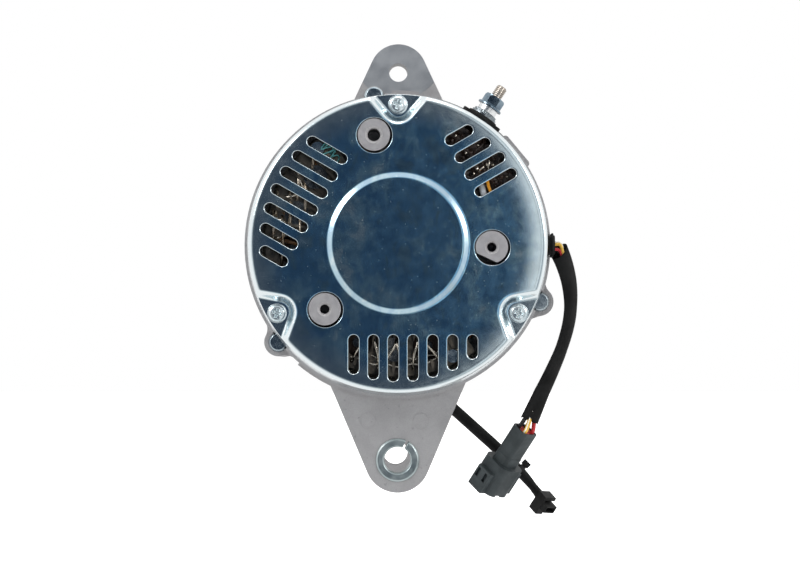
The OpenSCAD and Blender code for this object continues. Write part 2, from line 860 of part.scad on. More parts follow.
module main_grommet() {
    color([0.09, 0.09, 0.10]) at_machine() translate([0, 24.5, 0]) rotate([0, 90, 0]) {
        translate([0, 0, 82.1]) soft_box([12.8, 18, 1], 4);
        translate([0, 0, 83.1]) soft_box([10.4, 15.6, 0.8], 3);
        translate([0, -0.2, 76.6]) soft_box([10, 14, 6], 2);
    }
}

// Four wires: short bends from the grommet into the sleeve, and tails into the connector
module harness_wires() {
    spread = 1.2;
    exit = [84.5, -16, 113];
    bend = [87.2, -16, 113.8];
    mouth = sleeve_route[0];
    across = [0.93, 0, 0.36];
    color([0.75, 0.60, 0.25]) {
        for (y = [-spread, spread]) {
            swept([
                exit + [0, y, spread], bend + [0, y, 0], mouth + spread * across + [0.2, y, -0.5]
            ], wire_r, 8);
            swept([exit + [0, y, -spread], mouth - spread * across + [0.2, y, -0.5]], wire_r, 8);
        }
        for (g = tail_places)
            swept([
                sleeve_route[len(sleeve_route) - 1] + [g[0] * 0.45, g[1] * 0.45, 0.3],
                to_part([g[0], g[1], -1.2])
            ], wire_r, 8);
    }
}

// Places a point of the grey connector's own frame in the part's frame
function to_part(p) =
    let (a = connector_tilt[0], b = connector_tilt[1], c = connector_tilt[2],
        q = [p[0], p[1] * cos(a) - p[2] * sin(a), p[1] * sin(a) + p[2] * cos(a)],
        r = [q[0] * cos(b) + q[2] * sin(b), q[1], -q[0] * sin(b) + q[2] * cos(b)])
    connector_top + [r[0] * cos(c) - r[1] * sin(c), r[0] * sin(c) + r[1] * cos(c), r[2]];

module harness_sleeve() {
    color([0.06, 0.06, 0.07]) swept(sleeve_route, sleeve_r, 10);
}

module at_connector() {
    translate(connector_top) rotate(connector_tilt) children();
}

module grey_connector() {
    color([0.23, 0.27, 0.29]) at_connector() difference() {
        union() {
            translate([0, 0, -narrow_shell]) soft_box([each narrow_size, narrow_shell], 2.5);
            // Step where the rear holder is pushed on
            translate([0, 0, -narrow_shell - 0.5])
                soft_box([narrow_size[0] + 0.4, narrow_size[1] + 0.4, 5.9], 2.7);
            translate([0, 0, -connector_length])
                soft_box([each wide_size, connector_length - narrow_shell], 5);
            // Lock box on the left-hand side
            translate([-9.9, 0, -connector_length - 0.5]) soft_box([5.2, 10.4, 12.2], 0.8);
            // Rib on the right-hand side
            translate([8.2, -5.2, -connector_length + 1.8]) soft_box([3, 4.4, 13], 0.7);
        }
        translate([0, 0, seal_foot]) soft_box([each seal_size, 10], 1.6);
        translate([0, 0, -connector_length - 1]) soft_box([each socket_size, 15.8], 3.6);
        for (g = tail_places) translate([g[0], g[1], -30]) cylinder(r = 1.3, h = 30, $fn = 24);
        // Windows of the lock box
        for (y = [-3.9, 1.7]) translate([-13.1, y, -34]) cube([2.2, 2.2, 5]);
        translate([-2.9, -10, -connector_length - 1]) cube([4.2, 3.5, 1.9]);
    }
}

module connector_seals() {
    color([0.70, 0.16, 0.10]) at_connector() difference() {
        translate([0, 0, seal_foot]) soft_box([each seal_size, 1.7], 1.6);
        for (g = tail_places) translate([g[0], g[1], -4]) cylinder(r = 1.2, h = 8, $fn = 24);
    }
}

module connector_pins() {
    color([0.80, 0.76, 0.60]) at_connector() for (g = tail_places)
        translate([g[0], g[1], -33.5]) {
            translate([-1.1, -0.4, 0]) cube([2.2, 0.8, 10]);
            translate([0, 0, 9]) cylinder(r = 1.3, h = 8, $fn = 24);
        }
}

module lead_grommet() {
    color([0.09, 0.09, 0.10]) at_machine() turn(lead_angle) translate([77, lead_t, 0])
        rotate([0, 90, 0]) difference() {
            union() {
                cylinder(r = 4.4, h = 5.5);
                translate([0, 0, 5.1]) cylinder(r = 6, h = 1.6);
            }
            translate([0, 0, -1]) cylinder(r = 2, h = 4);
        }
}

module lead_sleeve() {
    color([0.06, 0.06, 0.07]) swept(lead_route, lead_r, 8);
}

module lead_tie() {
    color([0.08, 0.08, 0.09]) translate([66.5, 12.6, -6.6]) rotate([0, 46.5, 0]) {
        difference() {
            rotate([0, 90, 0]) cylinder(r = 4.2, h = 3, center = true, $fn = 32);
            rotate([0, 90, 0]) cylinder(r = 3.45, h = 5, center = true, $fn = 32);
        }
        translate([-2.2, -2.2, 3.9]) cube([4.4, 4.4, 3]);
    }
}

// A box between two opposite corners
module block(low, high) {
    translate(low) cube(high - low);
}

// Two-way connector, drawn from the lead's end: Y towards its mouth, Z up
module black_connector() {
    color([0.07, 0.07, 0.08]) translate(lead_route[len(lead_route) - 1]) rotate(plug_tilt)
        difference() {
            union() {
                block([-6.8, 0, -8.6], [2.25, 6.5, 2.8]);
                block([-6.8, 4, -5], [1.6, 10, -0.6]);
            }
            block([-7, 4.2, -0.6], [0.6, 7, 0.5]);
            block([-7, -1, -9], [-3, 7, -6.9]);
            block([-5.9, 3, -4.1], [0.7, 11, -1.5]);
        }
}

// ---- bearings ----

// A deep-groove ball bearing's sizes, from its bore and outer radii
function pitch_r(bore, out) = (bore + out) / 2;
function ball_r(bore, out) = 0.29 * (out - bore);
function land(bore, out) = 0.65 * ball_r(bore, out);

module bearing_ring(r_out, r_in, start, width, bore, out) {
    difference() {
        tube(r_out, r_in, start, start + width);
        along_y(start + width / 2) rotate_extrude()
            translate([pitch_r(bore, out), 0]) circle(ball_r(bore, out) + groove_gap);
    }
}

module outer_ring(bore, out, start, width) {
    color([0.72, 0.73, 0.75]) at_machine()
        bearing_ring(out, pitch_r(bore, out) + land(bore, out), start, width, bore, out);
}

module inner_ring(bore, out, start, width) {
    color([0.72, 0.73, 0.75]) at_machine()
        bearing_ring(pitch_r(bore, out) - land(bore, out), bore, start, width, bore, out);
}

module balls(bore, out, start, width) {
    color([0.82, 0.83, 0.85]) at_machine() for (i = [0:ball_count - 1])
        at_polar(pitch_r(bore, out), i * 360 / ball_count)
            translate([0, start + width / 2, 0]) sphere(ball_r(bore, out));
}

module cage(bore, out, start, width) {
    thick = 0.4 * ball_r(bore, out);
    reach = ball_r(bore, out) + 0.9;
    mid = start + width / 2;
    p = pitch_r(bore, out);
    color([0.70, 0.58, 0.34]) at_machine() difference() {
        tube(p + thick, p - thick, mid - reach, mid + reach);
        for (i = [0:ball_count - 1]) turn(i * 360 / ball_count)
            translate([p - 2 * thick, mid, 0]) rotate([0, 90, 0])
                cylinder(r = ball_r(bore, out) + 0.05, h = 4 * thick);
    }
}

module seals(bore, out, start, width) {
    p = pitch_r(bore, out);
    color([0.10, 0.10, 0.11]) at_machine() for (t = [start + 0.3, start + width - 1.1])
        tube(p + land(bore, out), p - land(bore, out) + 0.3, t, t + 0.8);
}

module rear_bearing_outer_ring() {
    outer_ring(rear_bearing_bore, rear_bearing_r, rear_bearing_start, rear_bearing_width);
}

module rear_bearing_inner_ring() {
    inner_ring(rear_bearing_bore, rear_bearing_r, rear_bearing_start, rear_bearing_width);
}

module rear_bearing_balls() {
    balls(rear_bearing_bore, rear_bearing_r, rear_bearing_start, rear_bearing_width);
}

module rear_bearing_cage() {
    cage(rear_bearing_bore, rear_bearing_r, rear_bearing_start, rear_bearing_width);
}

module front_bearing_outer_ring() {
    outer_ring(front_bearing_bore, front_bearing_r, front_bearing_start, front_bearing_width);
}

module front_bearing_inner_ring() {
    inner_ring(front_bearing_bore, front_bearing_r, front_bearing_start, front_bearing_width);
}

module front_bearing_balls() {
    balls(front_bearing_bore, front_bearing_r, front_bearing_start, front_bearing_width);
}

module front_bearing_cage() {
    cage(front_bearing_bore, front_bearing_r, front_bearing_start, front_bearing_width);
}

module bearing_seals() {
    seals(rear_bearing_bore, rear_bearing_r, rear_bearing_start, rear_bearing_width);
    seals(front_bearing_bore, front_bearing_r, front_bearing_start, front_bearing_width);
}

module bearing_retainer() {
    color([0.70, 0.72, 0.73]) at_machine() difference() {
        tube(35, 21, front_bearing_start - retainer_thick, front_bearing_start);
        for (a = retainer_angles) at_polar(retainer_screw_r, a) rod(2, 100, 140);
    }
}

module retainer_screws() {
    head_t = front_bearing_start - retainer_thick;
    color([0.78, 0.80, 0.82]) at_machine() for (a = retainer_angles) at_polar(retainer_screw_r, a) {
        rod(small_head_r, head_t - 2.4, head_t);
        rod(2, head_t - 0.1, head_t + 12);
    }
}

// ---- rotor ----

module rotor_shaft() {
    color([0.74, 0.75, 0.76]) at_machine() difference() {
        turned([
            [0, shaft_start], [6.4, shaft_start], [sleeve_in_r, shaft_start + 0.6],
            [sleeve_in_r, 29], [rear_bearing_bore, 29], [rear_bearing_bore, 43.5],
            [11, 46], [12, 50], [12, 122], [11.5, 126], [11.5, front_bearing_start],
            [front_bearing_bore, front_bearing_start], [front_bearing_bore, fan_plate_start - 6],
            [drive_r, fan_plate_start - 6], [drive_r, nut_start], [8, nut_start + 1],
            [8, shaft_end - 1], [7, shaft_end], [0, shaft_end]
        ]);
        translate([-key_w / 2, pulley_start + 1, key_foot]) cube([key_w, key_length, 10]);
        along_y(shaft_end - 3) cylinder(r1 = 0.2, r2 = 3.4, h = 3.2);
    }
}

// One claw: a notched disc with tapered fingers that reach towards the other end
module claw_shape() {
    finger_root = 13;
    finger_tip = 5;
    length = claw_end - claw_start - 4;
    tube(36, 12, 0, claw_disc);
    tube(21, 12, claw_disc - 1, (claw_end - claw_start) / 2);
    for (i = [0:claw_count - 1]) turn(i * 360 / claw_count) intersection() {
        union() {
            tube(claw_r, 34, 0, claw_disc);
            turned([
                [claw_r - 10, claw_disc - 1], [claw_r, claw_disc - 1], [claw_r, length],
                [claw_r - 4, length], [claw_r - 10, claw_disc + 6]
            ]);
        }
        // Trapezoid in plan, drawn across the radius and stood on the axis
        rotate([0, 90, 0]) linear_extrude(height = 60) polygon([
            [-finger_root, -1], [finger_root, -1], [finger_root, claw_disc],
            [finger_tip, length + 1], [-finger_tip, length + 1], [-finger_root, claw_disc]
        ]);
    }
}

module rear_pole_claw() {
    color([0.45, 0.46, 0.48]) at_machine() translate([0, claw_start, 0]) claw_shape();
}

module front_pole_claw() {
    color([0.43, 0.44, 0.46]) at_machine() translate([0, claw_end, 0]) turn(180 / claw_count)
        mirror([0, 1, 0]) claw_shape();
}

module field_bobbin() {
    flange = 1.4;
    color([0.16, 0.16, 0.15]) at_machine() {
        start = claw_start + claw_disc;
        end = claw_end - claw_disc;
        tube(22.4, 21, start, end);
        tube(39, 21, start, start + flange);
        tube(39, 21, end - flange, end);
    }
}

module field_coil() {
    color([0.66, 0.34, 0.15]) at_machine()
        tube(38, 22.4, claw_start + claw_disc + 1.4, claw_end - claw_disc - 1.4);
}

module slip_ring_sleeve() {
    color([0.13, 0.12, 0.12]) at_machine() turned([
        [sleeve_in_r, 7], [slip_ring_r - 0.8, 7], [slip_ring_r - 0.8, 9], [sleeve_out_r, 9],
        [sleeve_out_r, 16], [slip_ring_r - 0.8, 16], [slip_ring_r - 0.8, 19], [sleeve_out_r, 19],
        [sleeve_out_r, 26], [slip_ring_r - 0.8, 26], [slip_ring_r - 0.8, 27.6], [9.2, 27.6],
        [9.2, 29], [sleeve_in_r, 29]
    ]);
}

module slip_rings() {
    color([0.78, 0.46, 0.24]) at_machine() for (t = [9, 19])
        tube(slip_ring_r, sleeve_out_r, t, t + 7);
}

module spacer_collar() {
    color([0.66, 0.67, 0.69]) at_machine() {
        tube(14, front_bearing_bore, front_bearing_start + front_bearing_width, fan_plate_start - 6);
        tube(14, drive_r, fan_plate_start - 6, fan_plate_start);
    }
}

module cooling_fan() {
    blade_start = fan_plate_start - 14;
    color([0.66, 0.68, 0.70]) at_machine() {
        tube(fan_r, drive_r, fan_plate_start, fan_plate_start + fan_plate);
        for (i = [0:blade_count - 1]) turn(i * 360 / blade_count + 6) intersection() {
            slab(blade_start, fan_plate_start + 0.5) translate([46, -30]) ring(35.6, 34);
            tube(fan_r - 1, 37, blade_start, fan_plate_start + 1);
            translate([20, blade_start, 0]) cube([50, 16, 50]);
        }
    }
}

module pulley() {
    s = pulley_start;
    groove_depth = 11;
    top = 6.4;
    root = 3.2;
    function groove(mid) = [
        [pulley_r, mid - top], [pulley_r - groove_depth, mid - root],
        [pulley_r - groove_depth, mid + root], [pulley_r, mid + top]
    ];
    color([0.30, 0.31, 0.33]) at_machine() difference() {
        turned(concat(
            [[drive_r, s], [pulley_r - 1, s], [pulley_r, s + 1]],
            groove(s + 8.5), groove(s + 23.5),
            [[pulley_r, s + 31], [pulley_r - 1, s + 32], [22, s + 32], [20, s + 27], [14.5, s + 27],
            [14.5, s + 32], [drive_r, s + 32]]
        ));
        translate([-key_w / 2, s - 1, 5]) cube([key_w, pulley_width + 2, 6]);
    }
}

module pulley_key() {
    color([0.50, 0.51, 0.53]) at_machine() translate([-key_w / 2, pulley_start + 1, key_foot])
        cube([key_w, key_length, 5.4]);
}

module lock_washer() {
    color([0.60, 0.61, 0.62]) at_machine() difference() {
        tube(12.8, 8.1, nut_start + 1.1, nut_start + 3.6);
        translate([0, nut_start, -0.8]) cube([20, 6, 1.6]);
    }
}

module pulley_nut() {
    seat = nut_start + 3.6;
    color([0.70, 0.71, 0.72]) at_machine() difference() {
        intersection() {
            hex_rod(24, seat, seat + 11);
            turned([[0, seat], [14.6, seat], [14.6, seat + 9.6], [12.4, seat + 11], [0, seat + 11]]);
        }
        rod(8, seat - 1, seat + 20);
    }
}

rear_cover();
cover_screws();
rear_housing();
front_housing();
through_bolts();
foot_bushing();
stator_core();
stator_winding();
rectifier_positive_plate();
rectifier_negative_plate();
rectifier_diodes();
rectifier_board();
inner_screws();
output_bar();
regulator();
regulator_heat_sink();
brush_holder();
outer_brush();
inner_brush();
outer_brush_spring();
inner_brush_spring();
b_plus_stud();
b_plus_insulator();
b_plus_washer();
b_plus_collar();
b_plus_nut();
main_grommet();
harness_wires();
harness_sleeve();
grey_connector();
connector_seals();
connector_pins();
lead_grommet();
lead_sleeve();
lead_tie();
black_connector();
rear_bearing_outer_ring();
rear_bearing_inner_ring();
rear_bearing_balls();
rear_bearing_cage();
front_bearing_outer_ring();
front_bearing_inner_ring();
front_bearing_balls();
front_bearing_cage();
bearing_seals();
bearing_retainer();
retainer_screws();
rotor_shaft();
rear_pole_claw();
front_pole_claw();
field_bobbin();
field_coil();
slip_ring_sleeve();
slip_rings();
spacer_collar();
cooling_fan();
pulley();
pulley_key();
lock_washer();
pulley_nut();
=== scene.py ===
import json
import math

import bmesh
import bpy
import numpy as np
from mathutils import Matrix, Vector

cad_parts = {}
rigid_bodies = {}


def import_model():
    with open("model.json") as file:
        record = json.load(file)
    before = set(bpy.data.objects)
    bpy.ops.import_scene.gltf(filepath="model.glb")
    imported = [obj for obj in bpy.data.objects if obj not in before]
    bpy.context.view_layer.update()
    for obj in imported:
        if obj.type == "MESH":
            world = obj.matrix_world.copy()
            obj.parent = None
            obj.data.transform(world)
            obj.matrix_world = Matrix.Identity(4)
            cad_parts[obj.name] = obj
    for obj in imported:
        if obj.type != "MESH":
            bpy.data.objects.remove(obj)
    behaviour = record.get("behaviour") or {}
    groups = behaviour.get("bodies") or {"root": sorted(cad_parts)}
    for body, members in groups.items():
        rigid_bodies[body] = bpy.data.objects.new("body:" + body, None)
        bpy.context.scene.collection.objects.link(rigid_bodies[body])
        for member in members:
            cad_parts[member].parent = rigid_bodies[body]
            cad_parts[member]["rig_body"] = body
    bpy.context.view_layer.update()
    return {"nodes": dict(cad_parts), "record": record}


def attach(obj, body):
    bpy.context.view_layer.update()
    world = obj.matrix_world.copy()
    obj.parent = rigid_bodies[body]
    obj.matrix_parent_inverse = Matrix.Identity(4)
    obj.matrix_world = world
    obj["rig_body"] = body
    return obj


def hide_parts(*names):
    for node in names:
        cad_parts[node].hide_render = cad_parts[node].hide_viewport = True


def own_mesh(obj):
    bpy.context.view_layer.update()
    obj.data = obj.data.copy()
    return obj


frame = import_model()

scene = bpy.context.scene
MM = 0.001
PIVOT_T = 40.0     # station of the part's origin, forward from the cover's face, mm
AXIS_Z = 115.0     # height of the rotor axis, mm


def place(x, t, z):
    """A point x right, t forward of the cover's face and z above the axis, from mm to metres."""
    return Vector((x, t - PIVOT_T, z + AXIS_Z)) * MM


# ---------------------------------------------------------------- camera

lens = bpy.data.cameras.new("camera")
lens.lens = 111.4
lens.sensor_width = 36
lens.clip_start, lens.clip_end = 0.01, 30
camera = bpy.data.objects.new("camera", lens)
camera.location = (-0.0121, -1.340, 0.0511)
camera.rotation_euler = (math.radians(91.95), 0, math.radians(-0.58))
scene.collection.objects.link(camera)
scene.camera = camera

# ---------------------------------------------------------------- materials


class Surface:
    """A Principled material whose nodes work in object space, in metres."""

    def __init__(self, name, rough=0.5, metal=0.0, base=(0.5, 0.5, 0.5), spec=0.5):
        self.mat = bpy.data.materials.new(name)
        self.mat.use_nodes = True
        self.tree = self.mat.node_tree
        self.shader = self.tree.nodes["Principled BSDF"]
        self.set("Base Color", (*base, 1))
        self.set("Roughness", rough)
        self.set("Metallic", metal)
        self.set("Specular IOR Level", spec)
        self.coords = self.tree.nodes.new("ShaderNodeTexCoord").outputs["Object"]
        self.normal = None

    def set(self, socket, value):
        self.shader.inputs[socket].default_value = value

    def link(self, out, socket):
        self.tree.links.new(out, socket)

    def stretched(self, scale=(1, 1, 1), rotation=(0, 0, 0), shift=(0, 0, 0)):
        node = self.tree.nodes.new("ShaderNodeMapping")
        node.inputs["Scale"].default_value = scale
        node.inputs["Rotation"].default_value = rotation
        node.inputs["Location"].default_value = shift
        self.link(self.coords, node.inputs["Vector"])
        return node.outputs["Vector"]

    def noise(self, size, detail=3.0, rough=0.55, distortion=0.0, coords=None):
        """Noise with features of about size, in mm."""
        node = self.tree.nodes.new("ShaderNodeTexNoise")
        node.inputs["Scale"].default_value = 1.0 / (size * MM)
        node.inputs["Detail"].default_value = detail
        node.inputs["Roughness"].default_value = rough
        node.inputs["Distortion"].default_value = distortion
        self.link(coords or self.coords, node.inputs["Vector"])
        return node.outputs["Fac"]

    def bands(self, size, axis, distortion=0.0, detail=1.0):
        node = self.tree.nodes.new("ShaderNodeTexWave")
        node.wave_type = "BANDS"
        node.bands_direction = axis
        node.inputs["Scale"].default_value = 0.314 / (size * MM)
        node.inputs["Distortion"].default_value = distortion
        node.inputs["Detail"].default_value = detail
        self.link(self.coords, node.inputs["Vector"])
        return node.outputs["Fac"]

    def ramp(self, fac, *stops, smooth=False):
        """stops are (position, value), where a value is a number or a colour."""
        node = self.tree.nodes.new("ShaderNodeValToRGB")
        ramp = node.color_ramp
        ramp.interpolation = "EASE" if smooth else "LINEAR"
        while len(ramp.elements) < len(stops):
            ramp.elements.new(0.5)
        for element, (position, value) in zip(ramp.elements, stops):
            element.position = position
            colour = (value,) * 3 if isinstance(value, (int, float)) else value
            element.color = (*colour, 1)
        self.link(fac, node.inputs["Fac"])
        return node.outputs["Color"]

    def mix(self, fac, a, b, kind="MIX"):
        node = self.tree.nodes.new("ShaderNodeMix")
        node.data_type = "RGBA"
        node.blend_type = kind
        for value, place_in in ((fac, 0), (a, 6), (b, 7)):
            socket = node.inputs[place_in]
            if hasattr(value, "is_linked"):
                self.link(value, socket)
            elif place_in == 0:
                socket.default_value = value
            else:
                tone = (value,) * 3 if isinstance(value, (int, float)) else value
                socket.default_value = (*tone, 1)
        return node.outputs[2]

    def math(self, kind, a, b=0.0):
        node = self.tree.nodes.new("ShaderNodeMath")
        node.operation = kind
        for value, socket in ((a, node.inputs[0]), (b, node.inputs[1])):
            if hasattr(value, "is_linked"):
                self.link(value, socket)
            else:
                socket.default_value = value
        return node.outputs[0]

    def separate(self):
        node = self.tree.nodes.new("ShaderNodeSeparateXYZ")
        self.link(self.coords, node.inputs[0])
        return node.outputs

    def colour(self, out):
        self.link(out, self.shader.inputs["Base Color"])
        return self

    def roughness(self, out):
        self.link(out, self.shader.inputs["Roughness"])
        return self

    def bump(self, height, depth, strength=1.0):
        """height is a 0 to 1 output, depth its size in mm. Bumps add up."""
        node = self.tree.nodes.new("ShaderNodeBump")
        node.inputs["Strength"].default_value = strength
        node.inputs["Distance"].default_value = depth * MM
        self.link(height, node.inputs["Height"])
        if self.normal:
            self.link(self.normal, node.inputs["Normal"])
        self.normal = node.outputs["Normal"]
        self.link(self.normal, self.shader.inputs["Normal"])
        return self


def cover_zinc(name):
    """Pressed sheet with a blue passivated zinc coat, cloudy, streaked and finely scratched, with
    painted highlights on its turned edges and towards its rim.
    """
    s = Surface(name, rough=0.26, metal=1.0)
    cloud = s.noise(30, 4, 0.5, 0.4)
    streak = s.noise(7, 6, 0.66, 0.5, s.stretched((1, 1, 0.6), (0, 0.5, 0)))
    patch = s.mix(0.45, cloud, streak)
    tint = s.ramp(
        patch, (0.36, (0.58, 0.74, 0.80)), (0.44, (0.34, 0.58, 0.72)), (0.52, (0.19, 0.42, 0.64)),
        (0.60, (0.24, 0.42, 0.54)), (0.70, (0.50, 0.66, 0.74)), smooth=True,
    )
    # Where the sheet turns over an edge, its faces are painted pale zinc: a painted highlight on
    # the lips and the bend
    sides = s.tree.nodes.new("ShaderNodeNewGeometry").outputs["Normal"]
    split = s.tree.nodes.new("ShaderNodeSeparateXYZ")
    s.link(sides, split.inputs[0])
    flat = s.ramp(s.math("ABSOLUTE", split.outputs[1]), (0.80, 0.0), (0.985, 1.0), smooth=True)
    # The tint also fades to a pale grey towards the rim, a painted sheen where the crowned rim
    # catches the light
    x, _, z = s.separate()
    height = s.math("SUBTRACT", z, AXIS_Z * MM)
    squares = s.math("ADD", s.math("MULTIPLY", x, x), s.math("MULTIPLY", height, height))
    radius = s.math("SQRT", squares)
    reach = s.math("MULTIPLY", radius, 1 / (100 * MM))
    rim_sheen = s.ramp(reach, (0.60, 0.0), (0.76, 0.85), smooth=True)
    tint = s.mix(rim_sheen, tint, (0.60, 0.68, 0.70))
    # Painted highlight: faces turned away from the axis take the pale tone, and faces that look
    # along it keep the tint
    tone = s.mix(flat, (0.80, 0.86, 0.88), tint)
    # White specks and fine scratches
    speck = s.ramp(s.noise(1.1, 2, 0.5), (0.72, 0.0), (0.78, 1.0))
    hair = s.ramp(
        s.noise(3.0, 4, 0.7, 0.3, s.stretched((7, 1, 0.7), (0, 0.9, 0))), (0.66, 0.0), (0.74, 1.0)
    )
    marks = s.mix(1.0, speck, s.mix(0.5, (0, 0, 0), hair), "ADD")
    s.colour(s.mix(s.math("MULTIPLY", marks, 0.35), tone, (0.85, 0.90, 0.92)))
    rough = s.ramp(s.noise(6, 5, 0.6), (0.3, 0.15), (0.7, 0.24))
    s.roughness(s.mix(s.math("MULTIPLY", marks, 0.4), rough, (0.55,) * 3))
    s.bump(s.noise(16, 2), 0.05).bump(s.noise(0.6, 2), 0.003)
    return s.mat


def metal(name, base, dark, rough=(0.25, 0.45), grain=0.6, depth=0.01, patch=7.0, metallic=1.0):
    """Plated, drawn or ground metal: soft patches, fine grain and worn tone."""
    s = Surface(name, metal=metallic)
    s.colour(s.ramp(s.noise(patch, 5, 0.6), (0.32, dark), (0.66, base), smooth=True))
    s.roughness(s.ramp(s.noise(patch * 0.5, 4), (0.3, rough[0]), (0.7, rough[1])))
    s.bump(s.noise(grain, 3), depth)
    return s.mat


def cast_metal(name, base, dark, rough=(0.45, 0.62), metallic=0.55):
    """Sand- or die-cast surface: pebbled grain, pits and faint stains."""
    s = Surface(name, metal=metallic)
    stain = s.noise(20, 5, 0.65, 0.5)
    tone = s.ramp(stain, (0.30, dark), (0.62, base), smooth=True)
    grain = s.noise(0.55, 3, 0.6)
    tone = s.mix(s.ramp(grain, (0.35, 0.30), (0.62, 0.0)), tone, tuple(c * 0.72 for c in dark))
    pits = s.ramp(s.noise(2.4, 2, 0.5), (0.27, 1.0), (0.33, 0.0))
    s.colour(s.mix(s.math("MULTIPLY", pits, 0.35), tone, tuple(c * 0.45 for c in dark)))
    s.roughness(s.ramp(s.noise(3, 4), (0.3, rough[0]), (0.7, rough[1])))
    s.bump(grain, 0.10, 0.6).bump(s.noise(3.0, 3), 0.10, 0.5)
    return s.mat


def plastic(name, base, light, rough=(0.38, 0.55), grain=0.25, depth=0.02, spec=0.3):
    """Moulded plastic or rubber: satin sheen, fine mould grain and faint dust."""
    s = Surface(name, spec=spec)
    s.colour(s.ramp(s.noise(11, 5, 0.6), (0.35, base), (0.72, light), smooth=True))
    s.roughness(s.ramp(s.noise(2.2, 4), (0.3, rough[0]), (0.7, rough[1])))
    s.bump(s.noise(grain, 2), depth, 0.7)
    return s.mat


def turned_metal(name, base, dark, rough=(0.28, 0.42), pitch=0.35, metallic=1.0):
    """Metal turned on a lathe about the rotor axis: fine rings in the tone and the relief."""
    s = Surface(name, metal=metallic)
    rings = s.tree.nodes.new("ShaderNodeTexWave")
    rings.wave_type, rings.rings_direction = "RINGS", "Y"
    rings.inputs["Scale"].default_value = 0.314 / (pitch * MM)
    rings.inputs["Distortion"].default_value = 0.6
    s.link(s.stretched(shift=(0, 0, -AXIS_Z * MM)), rings.inputs["Vector"])
    tone = s.ramp(s.noise(9, 4), (0.32, dark), (0.66, base), smooth=True)
    groove = s.math("MULTIPLY", rings.outputs["Fac"], 0.16)
    s.colour(s.mix(groove, tone, tuple(c * 0.7 for c in dark)))
    s.roughness(s.ramp(s.noise(3, 3), (0.3, rough[0]), (0.7, rough[1])))
    s.bump(rings.outputs["Fac"], 0.012, 0.6)
    return s.mat


def striped(name, base, dark, pitch, axis, depth, metallic, rough=0.4):
    """Stacked sheets or wound wire: stripes across one axis."""
    s = Surface(name, metal=metallic, rough=rough)
    lines = s.bands(pitch, axis, 0.25)
    tone = s.ramp(lines, (0.05, dark), (0.45, base))
    grime = s.ramp(s.noise(6, 4), (0.35, 0.5), (0.7, 0.0))
    s.colour(s.mix(grime, tone, tuple(c * 0.6 for c in base)))
    s.bump(lines, depth, 0.8)
    return s.mat


# The look of each material slot of the record: its maker, then what the maker takes
LOOKS = {
    "cover_zinc": (cover_zinc,),
    "cast_aluminium": (cast_metal, (0.38, 0.375, 0.38), (0.33, 0.325, 0.33)),
    "bright_zinc": (metal, (0.52, 0.60, 0.64), (0.30, 0.37, 0.42), (0.16, 0.30)),
    "bushing_zinc": (metal, (0.56, 0.63, 0.63), (0.40, 0.47, 0.48), (0.28, 0.42)),
    "laminations": (striped, (0.42, 0.43, 0.45), (0.16, 0.16, 0.17), 0.6, "Y", 0.05, 0.9),
    "copper": (striped, (0.52, 0.20, 0.07), (0.20, 0.07, 0.03), 1.3, "Y", 0.25, 0.8, 0.3),
    "plate_metal": (metal, (0.27, 0.235, 0.19), (0.10, 0.085, 0.068), (0.28, 0.45), 0.9, 0.02),
    "diode_metal": (metal, (0.34, 0.33, 0.31), (0.14, 0.13, 0.12), (0.15, 0.35), 0.8, 0.02),
    "board": (plastic, (0.030, 0.018, 0.013), (0.075, 0.045, 0.032), (0.35, 0.6)),
    "black_plastic": (plastic, (0.005,) * 3, (0.014,) * 3, (0.4, 0.6), 0.25, 0.02, 0.15),
    "grey_plastic": (plastic, (0.017, 0.023, 0.025), (0.030, 0.038, 0.041), (0.42, 0.58)),
    "black_rubber": (plastic, (0.005,) * 3, (0.011,) * 3, (0.5, 0.7), 0.4, 0.02, 0.12),
    "red_rubber": (plastic, (0.42, 0.03, 0.02), (0.58, 0.06, 0.04), (0.4, 0.6)),
    "wire_insulation": (plastic, (0.55, 0.34, 0.05), (0.75, 0.52, 0.12), (0.3, 0.45)),
    "carbon": (plastic, (0.02, 0.02, 0.022), (0.06, 0.06, 0.065), (0.5, 0.7), 0.3, 0.03),
    "spring_steel": (metal, (0.70, 0.71, 0.73), (0.45, 0.46, 0.48), (0.2, 0.35)),
    "stud_metal": (metal, (0.46, 0.41, 0.36), (0.24, 0.21, 0.18), (0.18, 0.32)),
    "nut_zinc": (metal, (0.26, 0.34, 0.40), (0.12, 0.17, 0.22), (0.15, 0.28)),
    "bearing_steel": (turned_metal, (0.75, 0.76, 0.78), (0.55, 0.56, 0.58), (0.12, 0.22)),
    "cage_brass": (metal, (0.72, 0.52, 0.24), (0.45, 0.30, 0.12), (0.25, 0.4)),
    "shaft_steel": (turned_metal, (0.68, 0.69, 0.70), (0.46, 0.47, 0.48)),
    "claw_iron": (turned_metal, (0.36, 0.36, 0.37), (0.22, 0.22, 0.23), (0.35, 0.55), 0.6),
    "pulley_iron": (turned_metal, (0.20, 0.20, 0.21), (0.12, 0.12, 0.13), (0.32, 0.5)),
    "pin_metal": (metal, (0.85, 0.83, 0.76), (0.6, 0.56, 0.46), (0.2, 0.35)),
}
MATERIALS = {slot: make(slot, *values) for slot, (make, *values) in LOOKS.items()}
for part in frame["record"]["subparts"]:
    node = frame["nodes"][part["node"]]
    node.data.materials.clear()
    node.data.materials.append(MATERIALS[part["material_slot"]])
SLOT_OF = {part["node"]: part["material_slot"] for part in frame["record"]["subparts"]}

# ---------------------------------------------------------------- mesh helpers


def ring_faces(rings, count, closed=False):
    """Quads between rings of count verts each; closed also joins the last ring to the first."""
    faces = []
    for i in range(rings if closed else rings - 1):
        j = (i + 1) % rings
        for k in range(count):
            m = (k + 1) % count
            faces.append((i * count + k, i * count + m, j * count + m, j * count + k))
    return faces


